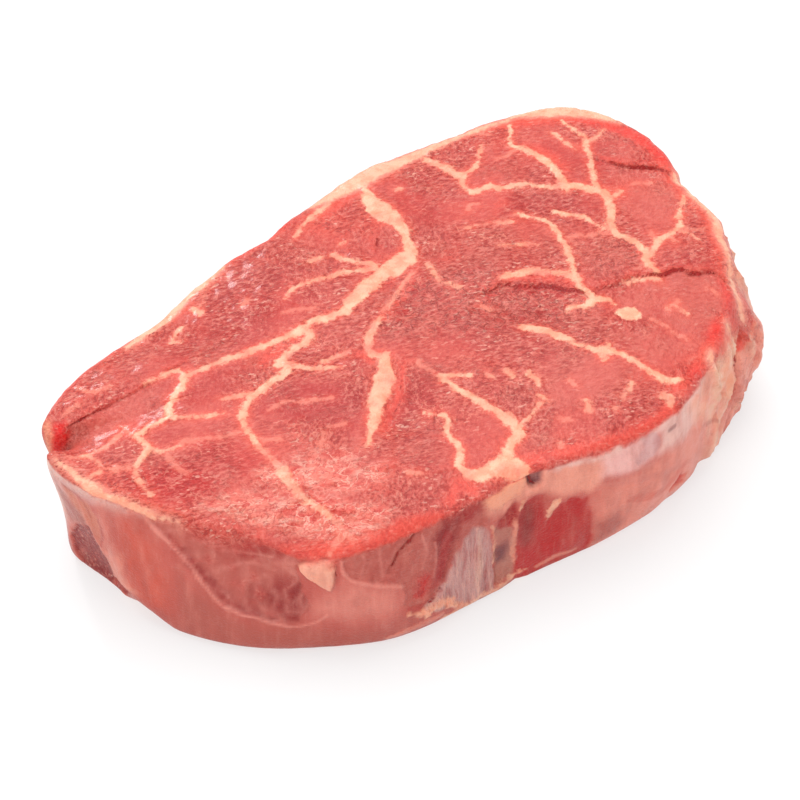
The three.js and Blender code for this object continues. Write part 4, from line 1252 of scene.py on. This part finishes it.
def beef():
    """Raw beef: the painted tones with grain, fine marbling, painted glints, painted shade in cracks and a
    moist gloss.
    """
    n = Nodes("beef")
    place = n.place()
    film = n.attribute("film")
    wet = n.attribute("wet")

    # Veins of fat and cracks have torn edges
    tear = n.centred(n.noise(place, 0.0012, 4.0, 0.65))
    pale = n.attribute("pale")
    vein = n.both(n.ramp(n.plus(n.attribute("vein"), tear, 2.6), -0.5, 0.3), pale)
    crack = n.ramp(n.plus(n.attribute("crack"), tear, 1.6), -0.05, 0.35, 0.0, 0.9)

    # The bare muscle, and the part of it that isn't calm
    fatty = n.attribute("fat")
    crazed = n.attribute("crazed")
    calm = n.attribute("calm")
    covered = n.math("MAXIMUM", n.math("MAXIMUM", fatty, vein), film)
    bare = n.math("SUBTRACT", 1.0, covered)
    plain = n.both(bare, n.ramp(calm, 0.0, 1.0, 1.0, 0.25), n.ramp(crazed, 0.0, 1.0, 1.0, 0.9))

    # Bundles of muscle fibre: torn along at the narrow end, cut across at the broad end
    torn = n.noise(n.stretched(place, -25, (1.9, 1.0, 1.0)), 0.00065, 3.0, 0.62)
    cut = n.noise(n.stretched(place, 50, (1.3, 1.0, 1.0)), 0.00075, 3.0, 0.64)
    turn = n.ramp(n.noise(place, 0.02, 1.0), 0.45, 0.55)
    fibre = n.number(turn, torn, cut)
    clots = n.noise(place, 0.0035, 3.0, 0.6)
    grain = n.plus(fibre, n.centred(clots), 0.35)
    colour = n.attribute("tone", "Color")
    colour = n.tint(colour, "deep", bare, n.ramp(clots, 0.5, 0.68, 0.0, 0.4))
    colour = n.tint(colour, "shade", plain, n.ramp(grain, 0.36, 0.5, 0.68, 0.0))
    colour = n.tint(colour, "fibre", plain, n.ramp(grain, 0.5, 0.64, 0.0, 0.6))

    # Cells of muscle where the face is crazed: dark borders of painted shade in the fine cracks, and painted
    # highlight along the cells' edges
    net = n.cells(n.stretched(n.warped(place, 0.0022, 0.0006), 40, (1.0, 1.3, 1.0)), 0.0017)
    broken = n.ramp(n.noise(place, 0.0016, 3.0, 0.6), 0.4, 0.58)
    border = n.both(n.ramp(net, 0.02, 0.12, 1.0, 0.0), crazed, bare, broken)
    colour = n.tint(colour, "fibre", n.ramp(net, 0.08, 0.2, 0.35, 0.0), crazed, bare)
    colour = n.tint(colour, "crack", border, 0.7)

    # Fine marbling: thin lines where a slow noise passes its middle
    patchy = n.ramp(n.noise(place, 0.008, 2.0), 0.46, 0.62)
    for size, width, share in ((0.0065, 0.014, 0.6), (0.0034, 0.018, 0.4)):
        web = n.lines(n.noise(place, size, 3.0, 0.55), width)
        colour = n.tint(colour, "thin", web, patchy, plain, share)

    # Painted glints: bright flecks where wet fibres catch the light
    flecks = n.noise(n.stretched(place, -30, (2.2, 1.0, 1.0)), 0.0006, 1.0, 0.5)
    gather = n.ramp(n.noise(place, 0.006, 2.0), 0.46, 0.64, 0.15, 1.0)
    colour = n.tint(colour, "painted_spark", n.ramp(flecks, 0.6, 0.68, 0.0, 0.6), gather, plain)

    # Crinkles of the wet film, with painted glints on them
    folds = n.noise(n.stretched(place, -35, (2.2, 1.0, 1.0)), 0.0016, 4.0, 0.6)
    seams = n.noise(n.stretched(place, -15, (1.6, 1.0, 1.0)), 0.0024, 3.0, 0.6)
    threads = n.noise(n.stretched(n.warped(place, 0.003, 0.0005), -35, (1.8, 1.0, 1.0)), 0.0019, 2.0, 0.5)
    crinkle = n.ramp(folds, 0.5, 0.66)
    colour = n.tint(colour, "ember", wet, n.ramp(folds, 0.36, 0.48, 0.55, 0.0))
    colour = n.tint(colour, "painted_glint", wet, crinkle, 0.45)
    colour = n.tint(colour, "painted_glint", wet, n.lines(threads, 0.035), 0.75)
    colour = n.tint(colour, "blood", wet, n.lines(seams, 0.025), 0.6)

    # Fine upright strands in the side, with painted glints along them
    strand = n.attribute("strand")
    lines = n.noise(n.stretched(place, 0, (1.0, 1.0, 7.0)), 0.0009, 3.0, 0.6)
    colour = n.tint(colour, "shade", strand, n.ramp(lines, 0.34, 0.5, 0.4, 0.0))
    colour = n.tint(colour, "painted_glint", strand, n.ramp(lines, 0.52, 0.68, 0.0, 0.45))

    # Fat is clouded and streaked, and film is blotched
    cloud = n.ramp(n.noise(place, 0.003, 4.0, 0.65), 0.4, 0.62)
    lard = n.mix(cloud, opaque("fat"), opaque("fat_orange"))
    lard = n.mix(n.ramp(pale, 0.5, 0.72), opaque("thin"), lard)
    colour = n.mix(vein, colour, lard)
    colour = n.tint(colour, "fat_orange", fatty, cloud, 0.25)
    blotch = n.ramp(n.noise(n.stretched(place, 0, (1.0, 1.0, 2.2)), 0.004, 4.0, 0.6), 0.42, 0.7, 0.0, 0.4)
    colour = n.tint(colour, "film_low", blotch, film)
    # painted shade in the cracks
    colour = n.tint(colour, "crack", crack)

    # Fine relief
    height = n.both(n.centred(grain), n.ramp(plain, 0.0, 1.0, 0.2, 1.0))
    height = n.plus(height, n.noise(place, 0.00045, 2.0, 0.6), 0.2)
    height = n.plus(height, wet, crinkle, 0.15)
    height = n.plus(height, strand, n.centred(lines), 0.6)
    height = n.plus(height, border, -0.3)
    height = n.plus(height, crack, -0.25)

    # The gloss is moist and uneven: stronger on the wet film and weaker on smooth muscle
    rough = n.ramp(n.noise(place, 0.002, 2.0, 0.6), 0.35, 0.7, 0.36, 0.5)
    rough = n.plus(rough, wet, -0.14)
    rough = n.plus(rough, calm, 0.14)
    n.fill(n.shader, {
        "Base Color": colour,
        "Roughness": rough,
        "IOR": 1.35,
        "Subsurface Weight": 0.2,
        "Subsurface Radius": (1.0, 0.35, 0.25),
        "Subsurface Scale": 0.0014,
        "Coat Weight": 0.15,
        "Coat Roughness": 0.18,
        "Normal": n.bump(height, 0.0012),
    })
    return n.material


def white_board():
    """The floor's dull white."""
    n = Nodes("white_board")
    n.fill(n.shader, {
        "Base Color": (BOARD_SHADE, BOARD_SHADE, BOARD_SHADE, 1),
        "Roughness": 0.9,
        "Specular IOR Level": 0.0,
        "Emission Color": (1, 1, 1, 1),
        "Emission Strength": BOARD_GLOW,
    })
    return n.material


# The studio
def back_vector(azimuth, elevation):
    """The way from the object to a camera at these angles."""
    a, e = math.radians(azimuth), math.radians(elevation)
    return Vector((math.sin(a) * math.cos(e), -math.cos(a) * math.cos(e), math.sin(e)))


def camera():
    data = bpy.data.cameras.new("camera")
    data.lens = LENS
    data.clip_start = 0.01
    data.clip_end = 20
    holder = put("camera", data)
    back = back_vector(AZIMUTH, ELEVATION)
    holder.location = MM * (Vector(LOOK_AT) + DISTANCE * back)
    holder.rotation_euler = back.to_track_quat("Z", "Y").to_euler()
    bpy.context.scene.camera = holder


def floor():
    bpy.ops.mesh.primitive_plane_add(size=FLOOR_SIZE, location=(0, 0, 0))
    board = bpy.context.active_object
    board.name = "floor"
    board.data.materials.append(white_board())


def lights():
    world = bpy.data.worlds.new("studio")
    world.use_nodes = True
    background = world.node_tree.nodes["Background"]
    background.inputs["Color"].default_value = (1, 1, 1, 1)
    background.inputs["Strength"].default_value = WORLD_LIGHT
    bpy.context.scene.world = world
    for light in LIGHTS:
        data = bpy.data.lights.new(light["name"], "AREA")
        data.shape = "DISK"
        data.size = light["size"]
        data.energy = light["watts"]
        lamp = put(light["name"], data)
        lamp.location = light["at"]
        lamp.rotation_euler = Vector(light["at"]).to_track_quat("Z", "Y").to_euler()
    bpy.context.scene.view_settings.view_transform = "Standard"


camera()
lights()
floor()
steak = finished_steak(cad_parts["steak"])
steak.data.materials.append(beef())
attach(steak, "root")
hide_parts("steak")
